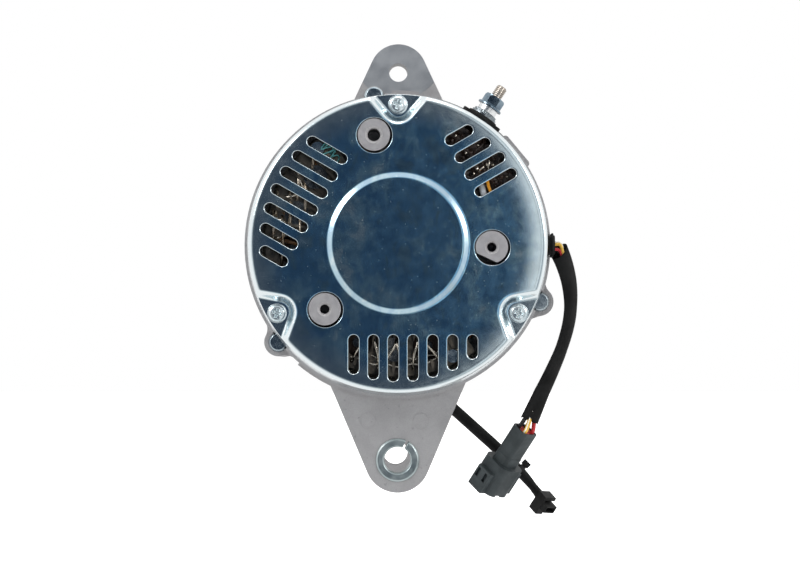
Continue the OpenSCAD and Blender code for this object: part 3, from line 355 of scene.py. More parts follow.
def new_object(name, verts, faces, look, body="housing", slot=None):
    """A smooth mesh that rides on a body. look is a slot's name, or a material. slot is not used.
    """
    mesh = bpy.data.meshes.new(name)
    mesh.from_pydata([tuple(v) for v in verts], [], [tuple(f) for f in faces])
    mesh.validate()
    work = bmesh.new()
    work.from_mesh(mesh)
    bmesh.ops.recalc_face_normals(work, faces=work.faces)
    work.to_mesh(mesh)
    work.free()
    mesh.polygons.foreach_set("use_smooth", [True] * len(mesh.polygons))
    mesh.materials.append(MATERIALS[look] if isinstance(look, str) else look)
    obj = bpy.data.objects.new(name, mesh)
    scene.collection.objects.link(obj)
    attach(obj, body)
    return obj


def refine(node, width, segments, angle=38):
    """Stands for a CAD node: the same shape, faces joined and edges rounded by width mm."""
    source = frame["nodes"][node]
    work = bmesh.new()
    work.from_mesh(source.data)
    bmesh.ops.remove_doubles(work, verts=work.verts, dist=3e-6)
    bmesh.ops.dissolve_limit(
        work, angle_limit=math.radians(0.8), verts=work.verts, edges=work.edges, delimit=set()
    )
    index = {v: i for i, v in enumerate(work.verts)}
    verts = [v.co.copy() for v in work.verts]
    faces = [[index[v] for v in f.verts] for f in work.faces]
    work.free()
    obj = new_object(node + "_shaped", verts, faces, SLOT_OF[node], body=source["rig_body"])
    obj.data.set_sharp_from_angle(angle=math.radians(32))
    if width:
        bevel = obj.modifiers.new("edges", "BEVEL")
        bevel.width = width * MM
        bevel.segments = segments
        bevel.limit_method = "ANGLE"
        bevel.angle_limit = math.radians(angle)
        bevel.harden_normals = True
        bevel.miter_outer = "MITER_ARC"
    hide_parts(node)
    return obj


def spun(profile, count, origin, axis):
    """Verts and faces of a profile [(radius, height)] in mm, turned round an axis at origin."""
    axis = Vector(axis).normalized()
    side = axis.orthogonal().normalized()
    other = axis.cross(side)
    verts = []
    for r, h in profile:
        for k in range(count):
            a = 2 * math.pi * k / count
            around = side * math.cos(a) + other * math.sin(a)
            verts.append(Vector(origin) + MM * (axis * h + around * r))
    return verts, ring_faces(len(profile), count)


def smooth_line(points, steps):
    """A Catmull-Rom line through the points."""
    p = [Vector(q) for q in points]
    p = [2 * p[0] - p[1]] + p + [2 * p[-1] - p[-2]]
    line = []
    for i in range(1, len(p) - 2):
        for k in range(steps):
            u = k / steps
            line.append(0.5 * (
                2 * p[i] + (p[i + 1] - p[i - 1]) * u
                + (2 * p[i - 1] - 5 * p[i] + 4 * p[i + 1] - p[i + 2]) * u * u
                + (3 * p[i] - p[i - 1] - 3 * p[i + 1] + p[i + 2]) * u ** 3
            ))
    line.append(p[-2])
    return line


def swept(line, wide, deep, sides, across=Vector((0, 1, 0))):
    """Verts and faces of a tube along a line; wide and deep give half-sizes in mm at a share."""
    verts = []
    n = len(line)
    for i, p in enumerate(line):
        d = (line[min(i + 1, n - 1)] - line[max(i - 1, 0)]).normalized()
        a = d.cross(across).normalized()
        b = a.cross(d).normalized()
        s = i / (n - 1)
        for k in range(sides):
            w = 2 * math.pi * k / sides
            q = Vector((math.cos(w) * wide(s), math.sin(w) * deep(s)))
            verts.append(p + MM * (a * q.x + b * q.y))
    return verts, ring_faces(n, sides)


def capped(verts, faces, sides):
    """Closes both ends of a tube."""
    ends = [tuple(range(sides - 1, -1, -1)), tuple(range(len(verts) - sides, len(verts)))]
    return verts, faces + ends


def join(*parts):
    """One list of verts and one of faces from several."""
    verts, faces = [], []
    for v, f in parts:
        base = len(verts)
        verts += list(v)
        faces += [tuple(base + k for k in g) for g in f]
    return verts, faces


def wire(name, points, radius, look, slot, steps=6, sides=10):
    line = smooth_line(points, steps)
    tube = swept(line, lambda s: radius, lambda s: radius, sides, Vector((0.13, 0.97, 0.21)))
    return new_object(name, *capped(*tube, sides), look, slot=slot)


# ---------------------------------------------------------------- leads

INSULATION = {
    "yellow": (0.58, 0.36, 0.05), "white": (0.70, 0.68, 0.60), "red": (0.40, 0.02, 0.025),
    "black": (0.010, 0.010, 0.011), "brown": (0.050, 0.018, 0.014),
    "orange": (0.80, 0.33, 0.02), "grey": (0.42, 0.44, 0.46),
}
WIRE = {
    key: plastic(f"wire_{key}", tuple(c * 0.8 for c in tone), tone, (0.28, 0.42))
    for key, tone in INSULATION.items()
}

# Middle lines of both leads, in metres, from grommet to connector
SLEEVE_ROUTE = [
    (0.0870, -0.016, 0.1110), (0.0895, -0.016, 0.1045), (0.0916, -0.016, 0.0965),
    (0.0926, -0.016, 0.0880), (0.0925, -0.016, 0.0800), (0.0914, -0.016, 0.0725),
    (0.0894, -0.016, 0.0650), (0.0868, -0.016, 0.0575), (0.0838, -0.016, 0.0505),
    (0.0806, -0.016, 0.0435), (0.0772, -0.016, 0.0365), (0.0739, -0.0161, 0.0292),
    (0.0704, -0.0163, 0.0214),
]
LEAD_ROUTE = [
    (0.0245, 0.0170, 0.0350), (0.0254, 0.0170, 0.0324), (0.0274, 0.0170, 0.0301),
    (0.0304, 0.0170, 0.0274), (0.0380, 0.0165, 0.0206), (0.0460, 0.0160, 0.0134),
    (0.0544, 0.0150, 0.0058), (0.0620, 0.0135, -0.0018), (0.0695, 0.0120, -0.0098),
    (0.0740, 0.0110, -0.0152), (0.0773, 0.0100, -0.0194),
]
# The grey connector's own frame: its middle, and how it is turned
PLUG = (
    Matrix.Translation((0.0683, -0.017, 0.0166)) @ Matrix.Rotation(math.radians(48.3), 4, "Z")
    @ Matrix.Rotation(math.radians(4.1), 4, "Y") @ Matrix.Rotation(math.radians(36.9), 4, "X")
)


def share(*stops):
    """A piecewise-linear function of a share from 0 to 1."""
    return lambda s: float(np.interp(s, [p for p, _ in stops], [v for _, v in stops]))


def lead_sleeves():
    line = smooth_line(SLEEVE_ROUTE, 3)
    sides = 28
    wide = share((0, 5.1), (0.10, 4.6), (0.30, 3.5), (0.55, 3.3), (0.80, 4.0), (1, 4.9))
    deep = share((0, 3.2), (0.15, 3.3), (0.5, 3.9), (1, 3.4))
    verts, faces = swept(line, wide, deep, sides)
    # The mouth is cut askew, and the cut end at the bottom is a little ragged
    down = (line[1] - line[0]).normalized()
    right = down.cross(Vector((0, 1, 0))).normalized()
    for k in range(sides):
        off = verts[k] - line[0]
        verts[k] -= down * (0.35 * off.dot(right) + 0.8 * off.y + 0.9 * MM)
        verts[-sides + k] += 0.0004 * math.sin(5 * k) * (line[-1] - line[-2]).normalized()
    sleeve = new_object("harness_sleeve_tube", verts, faces, "black_rubber")
    wall = sleeve.modifiers.new("wall", "SOLIDIFY")
    wall.thickness, wall.offset = 0.6 * MM, -1
    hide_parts("harness_sleeve")

    with_sleeve = []
    # Short bends from the grommet into the mouth: offset in depth, height, and how far they arch
    for key, y, z, arch in (
        ("yellow", -2.0, 1.4, 1.5), ("white", -0.4, 1.9, 1.9), ("red", -1.7, -0.9, 0.6),
        ("black", 1.4, 0.6, 1.2), ("black", 1.0, -1.4, 0.3),
    ):
        route = [
            (0.0818, -0.016 + y * MM, 0.1132 + z * MM),
            (0.0848, -0.016 + y * MM, 0.1134 + (z + 0.5 * arch) * MM),
            (0.0870 + 0.2 * z * MM, -0.016 + y * 0.9 * MM, 0.1122 + (0.8 * z + arch) * MM),
            (0.0884 + 0.3 * z * MM, -0.016 + y * 0.8 * MM, 0.1088 + 0.4 * z * MM),
            (0.0896 + 0.3 * z * MM, -0.016 + y * 0.7 * MM, 0.1030),
        ]
        with_sleeve.append(wire(
            f"harness_wire_{key}_{len(with_sleeve)}", route, 0.85, WIRE[key], slot="wire_insulation"
        ))
    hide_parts("harness_wires")
    # Tails from the sleeve into the seals of the plug
    for key, gx, gy in (
        ("black", -3.1, 2.5), ("yellow", -3.1, -2.5), ("red", 3.1, -2.5), ("brown", 3.1, 2.5),
    ):
        top = Vector(SLEEVE_ROUTE[-1]) + PLUG.to_3x3() @ Vector((gx * 0.55, gy * 0.55, 0)) * MM
        route = [
            top + Vector((0.0024, 0, 0.0056)), top + Vector((0.0009, 0, 0.0022)),
            PLUG @ (Vector((gx * 0.9, gy * 0.9, 2.2)) * MM), PLUG @ (Vector((gx, gy, -0.5)) * MM),
            PLUG @ (Vector((gx, gy, -2.8)) * MM),
        ]
        with_sleeve.append(wire(
            f"plug_tail_{key}", route, 1.15, WIRE[key], slot="wire_insulation"
        ))
        if key == "yellow":
            stripe = [p + Vector((-0.0003, -0.00085, 0.0001)) for p in route]
            with_sleeve.append(wire(
                "plug_tail_stripe", stripe, 0.42, WIRE["white"], slot="wire_insulation"
            ))
    plug = refine("grey_connector", 0.55, 3, 50)
    seals = refine("connector_seals", 0.15, 2)

    line = smooth_line(LEAD_ROUTE, 3)
    size = share((0, 3.15), (0.70, 3.15), (0.80, 2.75), (0.90, 2.3), (1, 2.6))
    verts, faces = capped(*swept(line, size, size, 20), 20)
    lead = new_object("second_lead_tube", verts, faces, "black_rubber")
    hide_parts("lead_sleeve")
    tie = refine("lead_tie", 0.15, 2)
    end = refine("black_connector", 0.35, 2)


lead_sleeves()

# ---------------------------------------------------------------- pressed rear cover

POCKETS = (90, 210, 330)       # turns of the screw pockets, degrees
SCREW_R = 73.5                 # the cover screws' distance from the axis
# Slots in three groups: turn, count, first one's offset sideways, inner end's distance outward
SLOT_GROUPS = ((270, 7, -23.3, 50.9), (150, 7, -23.8, 47.8), (30, 4, 2.0, 51.1))
SLOT_PITCH, SLOT_HALF, SLOT_END = 10.4, 2.75, 70.0
BOSS_HOLES = [
    np.array([x + 0.3, z - 0.3]) for x, z in ((-12.7, 57.2), (49.4, -2.0), (-38.5, -34.7))
]
BOSS_HOLE_R = 9.3
LIP = 0.5                      # radius of the rounded lip of an opening
CROWN_START, CROWN = 64.0, 0.42
BEND_START, BEND_R = 75.5, 3.5     # the face turns down into the side wall here
WALL_FLARE = 1.6               # the side wall's growth in radius down to its rim


def soft_min(a, b, k):
    """The lesser of a and b, blended over a width k."""
    h = np.clip(0.5 + 0.5 * (b - a) / k, 0, 1)
    return b + (a - b) * h - k * h * (1 - h)


def soft_max(a, b, k):
    return -soft_min(-a, -b, k)


def unit(angle):
    return np.array([math.cos(math.radians(angle)), math.sin(math.radians(angle))])


def slot_lines():
    """Both ends of the middle line of each slot, as (x, z) in mm."""
    found = []
    for angle, count, first, inner in SLOT_GROUPS:
        along, side = unit(angle), unit(angle + 90)
        for i in range(count):
            offset = first + SLOT_PITCH * i
            outer = math.sqrt(SLOT_END ** 2 - offset ** 2)
            found.append((along * inner + side * offset, along * outer + side * offset))
    return found


def pocket_edge(x, z):
    """Distance outside the flared V of the nearest screw pocket, in mm; negative inside it."""
    best = np.full_like(x, 1e3)
    for angle in POCKETS:
        along, side = unit(angle), unit(angle + 90)
        u = x * along[0] + z * along[1] - 72.4
        v = np.abs(x * side[0] + z * side[1])
        c, s = math.cos(math.radians(41)), math.sin(math.radians(41))
        flank = v * c - u * s
        beyond = u * c + v * s
        wedge = np.where(beyond > 0, flank, np.hypot(u, v))
        best = np.minimum(best, wedge - 9.0)
    return best


def face_profile(r):
    """Station of the cover's face at a radius: raised middle, flat, then a slight crown."""
    slope = soft_min((r - 37.6) * 0.469, np.zeros_like(r), 0.25)
    step = soft_max(np.full_like(r, -1.5), slope, 0.25)
    return step + CROWN * np.clip((r - CROWN_START) / (BEND_START - CROWN_START), 0, 1) ** 2.2


def sink(t, x, z):
    """Presses the pockets into the sheet: t is its station without them."""
    edge = pocket_edge(x, z)
    floor = soft_min(-edge * 1.75 - 0.3, np.full_like(x, 5.0), 1.6)
    return np.where(edge > 3.5, t, soft_max(t, floor, 2.4))


def face_station(x, z):
    r = np.hypot(x, z)
    return sink(face_profile(r), x, z)


def stadium(a, b, radius, count=14):
    """Points round a slot's outline in mm, grown to radius; a circle where both ends meet."""
    d = b - a
    if np.hypot(*d) < 1e-6:
        turn = np.linspace(0, 2 * math.pi, 2 * count, endpoint=False)
        return a + radius * np.stack([np.cos(turn), np.sin(turn)], axis=1)
    base = math.atan2(d[1], d[0])
    points = []
    for centre, start in ((b, base - math.pi / 2), (a, base + math.pi / 2)):
        for k in range(count + 1):
            w = start + math.pi * k / count
            points.append(centre + radius * np.array([math.cos(w), math.sin(w)]))
    return np.array(points)


def rolled_edge(a, b, radius, count):
    """The rounded lip of one opening, from a flange on the face down through the sheet."""
    rows = [(1.5, -0.012), (1.0, -0.012), (LIP + 0.12, -0.012)]
    rows += [
        (LIP * (1 - math.sin(w)), LIP * (1 - math.cos(w)))
        for w in np.radians((0, 22, 45, 68, 90))
    ]
    rows += [(0.0, 1.2), (0.6, 1.25)]
    verts = []
    for grow, down in rows:
        outline = stadium(a, b, radius + grow, count)
        t = face_station(outline[:, 0], outline[:, 1]) + down
        verts += [place(p[0], q, p[1]) for p, q in zip(outline, t)]
    return verts, ring_faces(len(rows), len(verts) // len(rows))


def rear_cover():
    """The pressed cover as one grid of rings, with a lip set into every opening."""
    around = 600
    radii = np.concatenate([
        [0.5, 2], np.arange(4, 33.6, 2.6), np.arange(33.7, 38.5, 0.25), np.arange(38.9, 62, 0.8),
        np.arange(62.2, 75.6, 0.55),
    ])
    stations = list(face_profile(radii))
    turn = np.radians(np.linspace(0, 90, 10))[1:]
    r = list(radii) + [BEND_START + BEND_R * math.sin(w) for w in turn]
    t = stations + [
        CROWN * (1 - w / (math.pi / 2)) + BEND_R * (1 - math.cos(w)) for w in turn
    ]
    for station in (4.2, 5.0, 5.8, 6.8, 8, 12, 18, 24, 26):
        r.append(BEND_START + BEND_R + WALL_FLARE * min(1, (station - BEND_R) / 20.5))
        t.append(station)
    r, t = np.array(r), np.array(t)
    w = np.linspace(0, 2 * math.pi, around, endpoint=False)
    x, z = np.outer(r, np.cos(w)), np.outer(r, np.sin(w))
    depth = sink(np.repeat(t[:, None], around, 1), x, z)
    # The rolled lower edge stays straight
    depth = np.where(t[:, None] > 12, t[:, None], depth)
    clear = np.full(x.shape, 1e3)
    for a, b in slot_lines():
        d = b - a
        share_along = np.clip(((x - a[0]) * d[0] + (z - a[1]) * d[1]) / d.dot(d), 0, 1)
        away = np.hypot(x - a[0] - d[0] * share_along, z - a[1] - d[1] * share_along)
        clear = np.minimum(clear, away - SLOT_HALF)
    for hole in BOSS_HOLES:
        clear = np.minimum(clear, np.hypot(x - hole[0], z - hole[1]) - BOSS_HOLE_R)
    keep = clear > LIP
    verts = [
        place(x[i, k], depth[i, k], z[i, k]) for i in range(len(r)) for k in range(around)
    ]
    faces = [tuple(range(around))]
    for i in range(len(r) - 1):
        for k in range(around):
            m = (k + 1) % around
            corners = ((i, k), (i + 1, k), (i + 1, m), (i, m))
            if all(keep[c] for c in corners):
                faces.append(tuple(a * around + b for a, b in corners))
    lips = [rolled_edge(a, b, SLOT_HALF, 12) for a, b in slot_lines()]
    lips += [rolled_edge(hole, hole, BOSS_HOLE_R, 36) for hole in BOSS_HOLES]
    obj = new_object("rear_cover_pressed", *join((verts, faces), *lips), "cover_zinc")
    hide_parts("rear_cover")


rear_cover()

# ---------------------------------------------------------------- castings and bought parts

# Pieces that keep their CAD shape: width of the rounded edges in mm, and its segments
GENTLE = {
    "rear_housing": (0.45, 2), "through_bolts": (0.25, 3), "foot_bushing": (0.25, 2),
    "stator_core": (0, 1), "rectifier_positive_plate": (0.25, 2),
    "rectifier_negative_plate": (0.25, 2), "rectifier_board": (0.15, 2),
    "output_bar": (0.25, 2), "regulator": (0.5, 3), "regulator_heat_sink": (0.2, 2),
    "brush_holder": (0.3, 2), "inner_screws": (0.2, 2),
    "b_plus_insulator": (0.35, 3), "b_plus_collar": (0.3, 3), "b_plus_nut": (0.18, 2),
    "main_grommet": (0.45, 3), "lead_grommet": (0.4, 3),
    "rotor_shaft": (0.25, 2), "rear_pole_claw": (0.6, 2), "front_pole_claw": (0.6, 2),
    "field_bobbin": (0.2, 2), "slip_ring_sleeve": (0.2, 2), "slip_rings": (0.2, 2),
    "spacer_collar": (0.25, 2), "cooling_fan": (0.25, 2), "pulley": (0.35, 2),
    "pulley_key": (0.15, 2), "lock_washer": (0.15, 2), "pulley_nut": (0.35, 3),
    "bearing_retainer": (0.25, 2), "retainer_screws": (0.2, 2), "front_housing": (0.5, 2),
}
SHAPED = {node: refine(node, *edge) for node, edge in GENTLE.items()}


def machined(obj, material, test):
    """Gives the faces that pass test(centre, normal) a second material."""
    obj.data.materials.append(material)
    for face in obj.data.polygons:
        if test(face.center, face.normal):
            face.material_index = len(obj.data.materials) - 1


EAR_FACE_Y = 64.8 * MM       # the ear's rear face
BOSS_FACE_Y = -39.5 * MM     # the tapped bosses' faces lie behind this
MILLED = metal(
    "milled_aluminium", (0.34, 0.355, 0.375), (0.28, 0.295, 0.315), (0.42, 0.55), 0.35, 0.015,
    12, 0.75,
)
BOSS_FACE = metal(
    "faced_boss", (0.31, 0.305, 0.315), (0.26, 0.255, 0.265), (0.5, 0.62), 0.3, 0.012, 5, 0.5
)
machined(
    SHAPED["front_housing"], MILLED,
    lambda c, n: n.y < -0.99 and abs(c.y - EAR_FACE_Y) < 0.1 * MM,
)
machined(SHAPED["rear_housing"], BOSS_FACE, lambda c, n: n.y < -0.99 and c.y < BOSS_FACE_Y)

# ---------------------------------------------------------------- fasteners

SCREW_ZINC = metal(
    "screw_zinc", (0.80, 0.88, 0.90), (0.60, 0.70, 0.74), (0.20, 0.30), 2.5, 0.004, 12
)
WASHER_STEEL = metal(
    "washer_steel", (0.34, 0.38, 0.40), (0.16, 0.18, 0.20), (0.22, 0.36), 1.5, 0.004
)
COLLAR_STEEL = metal(
    "collar_steel", (0.86, 0.87, 0.87), (0.66, 0.68, 0.69), (0.28, 0.36), 2.0, 0.002, 5
)
FAN_ZINC = metal("fan_zinc", (0.58, 0.62, 0.63), (0.50, 0.54, 0.56), (0.28, 0.38), 0.8, 0.006, 14)
SHAPED["cooling_fan"].data.materials[0] = FAN_ZINC


def screw_head():
    """A flanged pan head with a cross recess: its verts (x, height, z) in mm, and its faces."""
    radii = [
        0.01, 0.3, 0.6, 0.9, 1.2, 1.5, 1.8, 2.1, 2.4, 2.7, 3.0, 3.3, 3.55, 3.8, 3.95, 4.05, 4.12,
        4.16, 4.2, 4.5, 4.8, 5.0, 5.1, 5.15, 5.15,
    ]
    pan_r, flange_r = 3.8, 4.2
    arm_half, arm_reach, recess = 0.74, 2.45, 2.5
    c, s = math.cos(math.radians(20)), math.sin(math.radians(20))
    count = 96
    verts = []
    for i, r in enumerate(radii):
        if r < pan_r:
            height = 3.35 - 0.045 * r * r
        elif r < flange_r:
            height = 3.35 - 0.65 - 1.45 * ((r - pan_r) / 0.4) ** 1.6
        else:
            height = 1.25 - 0.25 * (r - flange_r)
        if i == len(radii) - 2:
            height = 0.8
        if i == len(radii) - 1:
            height = 0.0
        for k in range(count):
            w = 2 * math.pi * k / count
            x, z = r * math.cos(w), r * math.sin(w)
            u, v = abs(x * c - z * s), abs(x * s + z * c)
            arm = min(
                max(v - arm_half, 0.6 * (u - arm_reach)), max(u - arm_half, 0.6 * (v - arm_reach))
            )
            depth = recess * min(1.0, max(0.0, -arm / 0.30)) * (1 - 0.16 * r)
            verts.append((x, height - max(0.0, depth), z))
    return verts, ring_faces(len(radii), count) + [tuple(range(count))]


def cover_screws():
    seat = 5.02
    shank = [
        (2.5, 5), (2.5, 16), (2.3, 17), (2.5, 17.4), (2.3, 18.2), (2.5, 18.6), (1.6, 20),
        (0.01, 20),
    ]
    shank = [(r, t - PIVOT_T) for r, t in shank]
    head, faces = screw_head()
    parts = []
    for angle in POCKETS:
        x, z = SCREW_R * unit(angle)
        parts.append(([place(x + a, seat - h, z + c) for a, h, c in head], faces))
        parts.append(spun(shank, 24, place(x, PIVOT_T, z), (0, 1, 0)))
    screws = new_object("cover_screws_shaped", *join(*parts), SCREW_ZINC, slot="bright_zinc")
    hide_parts("cover_screws")


cover_screws()

TERMINAL_ANGLE = 56.4
TERMINAL_T = 22.0
OUT_X, OUT_Z = unit(TERMINAL_ANGLE)
OUTWARD = Vector((OUT_X, 0, OUT_Z))
TERMINAL = place(0, TERMINAL_T, 0)


def about_terminal(r, w, h):
    """A point at radius r, turn w and height h along the output terminal, from mm to metres."""
    side = Vector((0, 1, 0))
    around = side * math.cos(w) + OUTWARD.cross(side) * math.sin(w)
    return TERMINAL + MM * (OUTWARD * h + r * around)


def output_terminal():
    # Stud with a rolled thread of 1 mm pitch on its free end and its foot
    foot, thread_start, chamfer, tip = 57, 95.1, 100.9, 101.8
    heights = [foot, foot + 0.01] + [57.5 + 0.125 * k for k in range(350)]
    heights += [101.5, tip, tip + 0.01]
    count = 40
    verts = []
    for i, h in enumerate(heights):
        for k in range(count):
            w = 2 * math.pi * k / count
            top = 3.0 if h > thread_start else 3.18
            phase = (h - k / count) % 1.0
            valley = 0.34 * (1 - abs(2 * phase - 1)) ** 1.3
            r = top - valley
            if h > chamfer:
                r = min(r, top - 0.9 * (h - chamfer))
            if i in (0, len(heights) - 1):
                r = 0.01
            verts.append(about_terminal(r, w, h))
    stud = new_object(
        "b_plus_stud_threaded", verts, ring_faces(len(heights), count), "stud_metal"
    )
    stud.data.set_sharp_from_angle(angle=math.radians(50))
    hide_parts("b_plus_stud")

    # Toothed lock washer on a plain one: (radius, height) round its section
    rows = [
        (3.25, 82.82), (7.2, 82.82), (7.2, 83.9), (6.5, 84.05), (6.4, 84.1), (6.4, 85.2),
        (6.2, 85.38), (3.25, 85.38),
    ]
    count = 144
    verts = []
    for i, (r, h) in enumerate(rows):
        for k in range(count):
            w = 2 * math.pi * k / count
            lift = 0.16 * math.sin(18 * w) if i in (2, 3) else 0.0
            grow = 0.14 * math.sin(24 * w) if i in (4, 5, 6) else 0.0
            verts.append(about_terminal(r + grow, w, h + lift))
    faces = ring_faces(len(rows), count, closed=True)
    washer = new_object("b_plus_washer_toothed", verts, faces, WASHER_STEEL, slot="bright_zinc")
    washer.data.set_sharp_from_angle(angle=math.radians(35))
    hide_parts("b_plus_washer")
    SHAPED["b_plus_collar"].data.materials[0] = COLLAR_STEEL


output_terminal()

# ---------------------------------------------------------------- inside, seen through the slots

VARNISHED = plastic(
    "varnished_wire", (0.10, 0.05, 0.02), (0.24, 0.13, 0.06), (0.22, 0.4), 0.8, 0.05, 0.5
)
TINNED = metal("tinned_copper", (0.86, 0.80, 0.70), (0.55, 0.49, 0.40), (0.14, 0.3), 0.8, 0.02, 3)
TEAL = plastic("teal_tie", (0.05, 0.22, 0.23), (0.16, 0.42, 0.42), (0.3, 0.45))
STRIP = metal("bronze_strip", (0.50, 0.44, 0.36), (0.16, 0.12, 0.08), (0.2, 0.4), 3, 0.02, 4)
RESIN = plastic(
    "potting_resin", (0.016, 0.010, 0.008), (0.050, 0.030, 0.023), (0.2, 0.45), 1.2, 0.15, 0.5
)


def at_turn(angle, r, t, side=0.0):
    """A point by turn, distance from the axis and station, moved sideways, from mm to metres."""
    p = r * unit(angle) + side * unit(angle + 90)
    return place(p[0], t, p[1])


def inner_leads():
    """Tinned bars, diode leads and loops of stator wire between the rectifier plates."""
    wires = []

    def add(points, r, look, name):
        wires.append(wire(f"{name}_{len(wires)}", points, r, look, steps=5, sides=8, slot="copper"))

    # Slanting bright strips behind the bottom slots
    for angle, lean in ((250, 4), (259, -5), (266, 6), (271, -3), (279, 5), (287, -6), (293, 3)):
        add([
            at_turn(angle, 48, 8.5, lean * 0.5), at_turn(angle, 54, 4.6, lean * 0.35),
            at_turn(angle, 60, 5.2, -lean * 0.2), at_turn(angle, 67, 9.0, -lean * 0.5),
        ], 0.8, TINNED, "strip")
    # Loops of stator wire behind the left-hand slots
    for angle in (128, 136, 144, 151, 158, 165, 172, 178):
        add([
            at_turn(angle - 2, 70, 20), at_turn(angle - 1, 65, 11), at_turn(angle + 1, 57, 8.5),
            at_turn(angle + 3, 51, 11), at_turn(angle + 4, 47, 18),
        ], 0.95, VARNISHED, "loop")
    for angle, side in ((131, 2), (147, -2), (156, 2), (169, -1), (176, 2)):
        add([
            at_turn(angle, 67, 10, side), at_turn(angle, 63, 6.8, side * 0.5),
            at_turn(angle, 59, 7.2, -side), at_turn(angle, 55, 11, -side),
        ], 0.7, TINNED, "link")
    # A knotted teal cord behind the uppermost slot
    add([
        at_turn(127.5 + 4 * math.sin(1.7 * k), 55 + 1.6 * k, 6.2 + 1.2 * math.cos(2.3 * k))
        for k in range(8)
    ], 0.45, TEAL, "cord")
    add([
        at_turn(126 + 3 * math.cos(2.1 * k), 53 + 1.9 * k, 6.8 + 1.0 * math.sin(1.9 * k))
        for k in range(8)
    ], 0.4, TEAL, "cord")
    # Behind the left-hand slots: upright tinned strips
    for x, z, length in (
        (-66, 8, 22), (-61, 0, 30), (-57, 16, 26), (-53, 30, 20), (-49, 22, 26), (-64, 22, 16),
        (-45, 44, 12), (-52, 6, 20),
    ):
        add([
            place(x - 0.8, 9.5, z - length / 2), place(x, 6.4, z - length / 6),
            place(x + 0.5, 6.2, z + length / 6), place(x - 0.3, 9.5, z + length / 2),
        ], 0.9, STRIP, "upright")
    # Arcs of wire along the foot of the bottom slots
    for r, t, first, last in ((64.5, 7.4, 246, 300), (61, 9.2, 252, 292)):
        add([
            at_turn(first + (last - first) * k / 9, r + 0.6 * (-1) ** k, t) for k in range(10)
        ], 0.55, TINNED, "arc")

    # Behind the right-hand slots: an orange wire, a grey tube and beads of solder and resin.
    # Their places go by u outward along the slots, v across them and the station
    def behind(u, v, t):
        p = u * unit(30) + v * unit(120)
        return place(p[0], t, p[1])

    for name, look, r, points in (
        ("regulator_wire", WIRE["orange"], 0.85,
         ((56.8, -4, 9), (56.2, -1, 4.4), (56.8, 3, 4.4), (58.5, 6.5, 8))),
        ("regulator_tube", WIRE["grey"], 1.7,
         ((50.5, -5, 9), (51.8, -1.5, 4.6), (53, 2.5, 4.6), (54, 7, 9))),
        ("stub", TINNED, 0.6, ((60, 8, 8), (61.5, 11, 4.2), (63.5, 13.5, 4.2), (65, 16, 8))),
        ("stub", TINNED, 0.6, ((55.5, 10, 8), (57, 12, 4.4), (59.5, 12.6, 4.6), (60.5, 15, 8))),
        ("stub", RESIN, 1.0, ((58, 20, 8), (61, 22, 4.4), (65, 23, 4.4), (69, 26, 8))),
    ):
        add([behind(*point) for point in points], r, look, name)
    for u, v, size in (
        (61, 2.2, 1.3), (63.6, 1.2, 0.9), (65.2, 3.2, 1.1), (67.8, 1.8, 0.9), (59.8, 0.8, 0.8),
        (53.2, 12, 1.0), (56, 13.4, 1.2), (59, 11, 1.1), (62, 12.6, 1.4), (64.4, 11, 1.0),
        (66.6, 13.4, 0.9), (52.5, 22, 1.1), (55, 23.6, 0.9), (57.6, 22.4, 1.2), (62.8, 24, 1.0),
        (52, 33, 1.2), (55, 34.2, 1.0), (58.4, 32.6, 1.1),
    ):
        bead = [
            (0.01, -size), (0.7 * size, -0.75 * size), (size, 0), (0.7 * size, 0.75 * size),
            (0.01, size),
        ]
        look = TINNED if (round(7 * u + 3 * v)) % 4 == 0 else RESIN
        blob = spun(bead, 12, behind(u, v, 5.4), (0.3, 1, 0.2 * math.sin(u)))
        wires.append(new_object(f"solder_{len(wires)}", *blob, look, slot="board"))


inner_leads()


def lumpy_board():
    """Potted underside of the board, as a rippled sheet behind the right-hand slots."""
    verts, faces = [], []
    rows, cols = 26, 46
    for i in range(rows):
        for k in range(cols):
            r = 47 + 24 * i / (rows - 1)
            a = 25 + 46 * k / (cols - 1)
            ripple = 1.1 * math.sin(0.9 * r) * math.cos(0.35 * a)
            verts.append(at_turn(a, r, 7.2 + ripple + 0.7 * math.sin(0.23 * r * a / 7)))
    for i in range(rows - 1):
        for k in range(cols - 1):
            a, b = i * cols + k, (i + 1) * cols + k
            faces.append((a, b, b + 1, a + 1))
    new_object("potted_board", verts, faces, RESIN, slot="board")


lumpy_board()


def brush_springs():
    """A coil for each brush. Its middle line runs low to high."""
    turns, steps = 7, 26
    coil_r, wire_r = 1.72, 0.22
    low, high = 31.35, 41.7
    for node, station, joint in (
        ("outer_brush_spring", 12.5, "outer_brush_slide"),
        ("inner_brush_spring", 22.5, "inner_brush_slide"),
    ):
        points = []
        for k in range(turns * steps + 1):
            w = 2 * math.pi * k / steps
            points.append(place(
                coil_r * math.cos(w), station + coil_r * math.sin(w),
                low + (high - low) * k / (turns * steps),
            ))
        tube = swept(points, lambda s: wire_r, lambda s: wire_r, 8, Vector((0.02, 0.03, 1)))
        coil = new_object(node + "_coil", *capped(*tube, 8), "spring_steel")
        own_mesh(coil)
        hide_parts(node)


brush_springs()

# ---------------------------------------------------------------- studio


def glow_look(name, strength):
    """A glowing material, and its emission node."""
    look = bpy.data.materials.new(name)
    look.use_nodes = True
    nodes, links = look.node_tree.nodes, look.node_tree.links
    nodes.clear()
    glow = nodes.new("ShaderNodeEmission")
    glow.inputs["Strength"].default_value = strength
    links.new(glow.outputs["Emission"], nodes.new("ShaderNodeOutputMaterial").inputs["Surface"])
    return look, glow


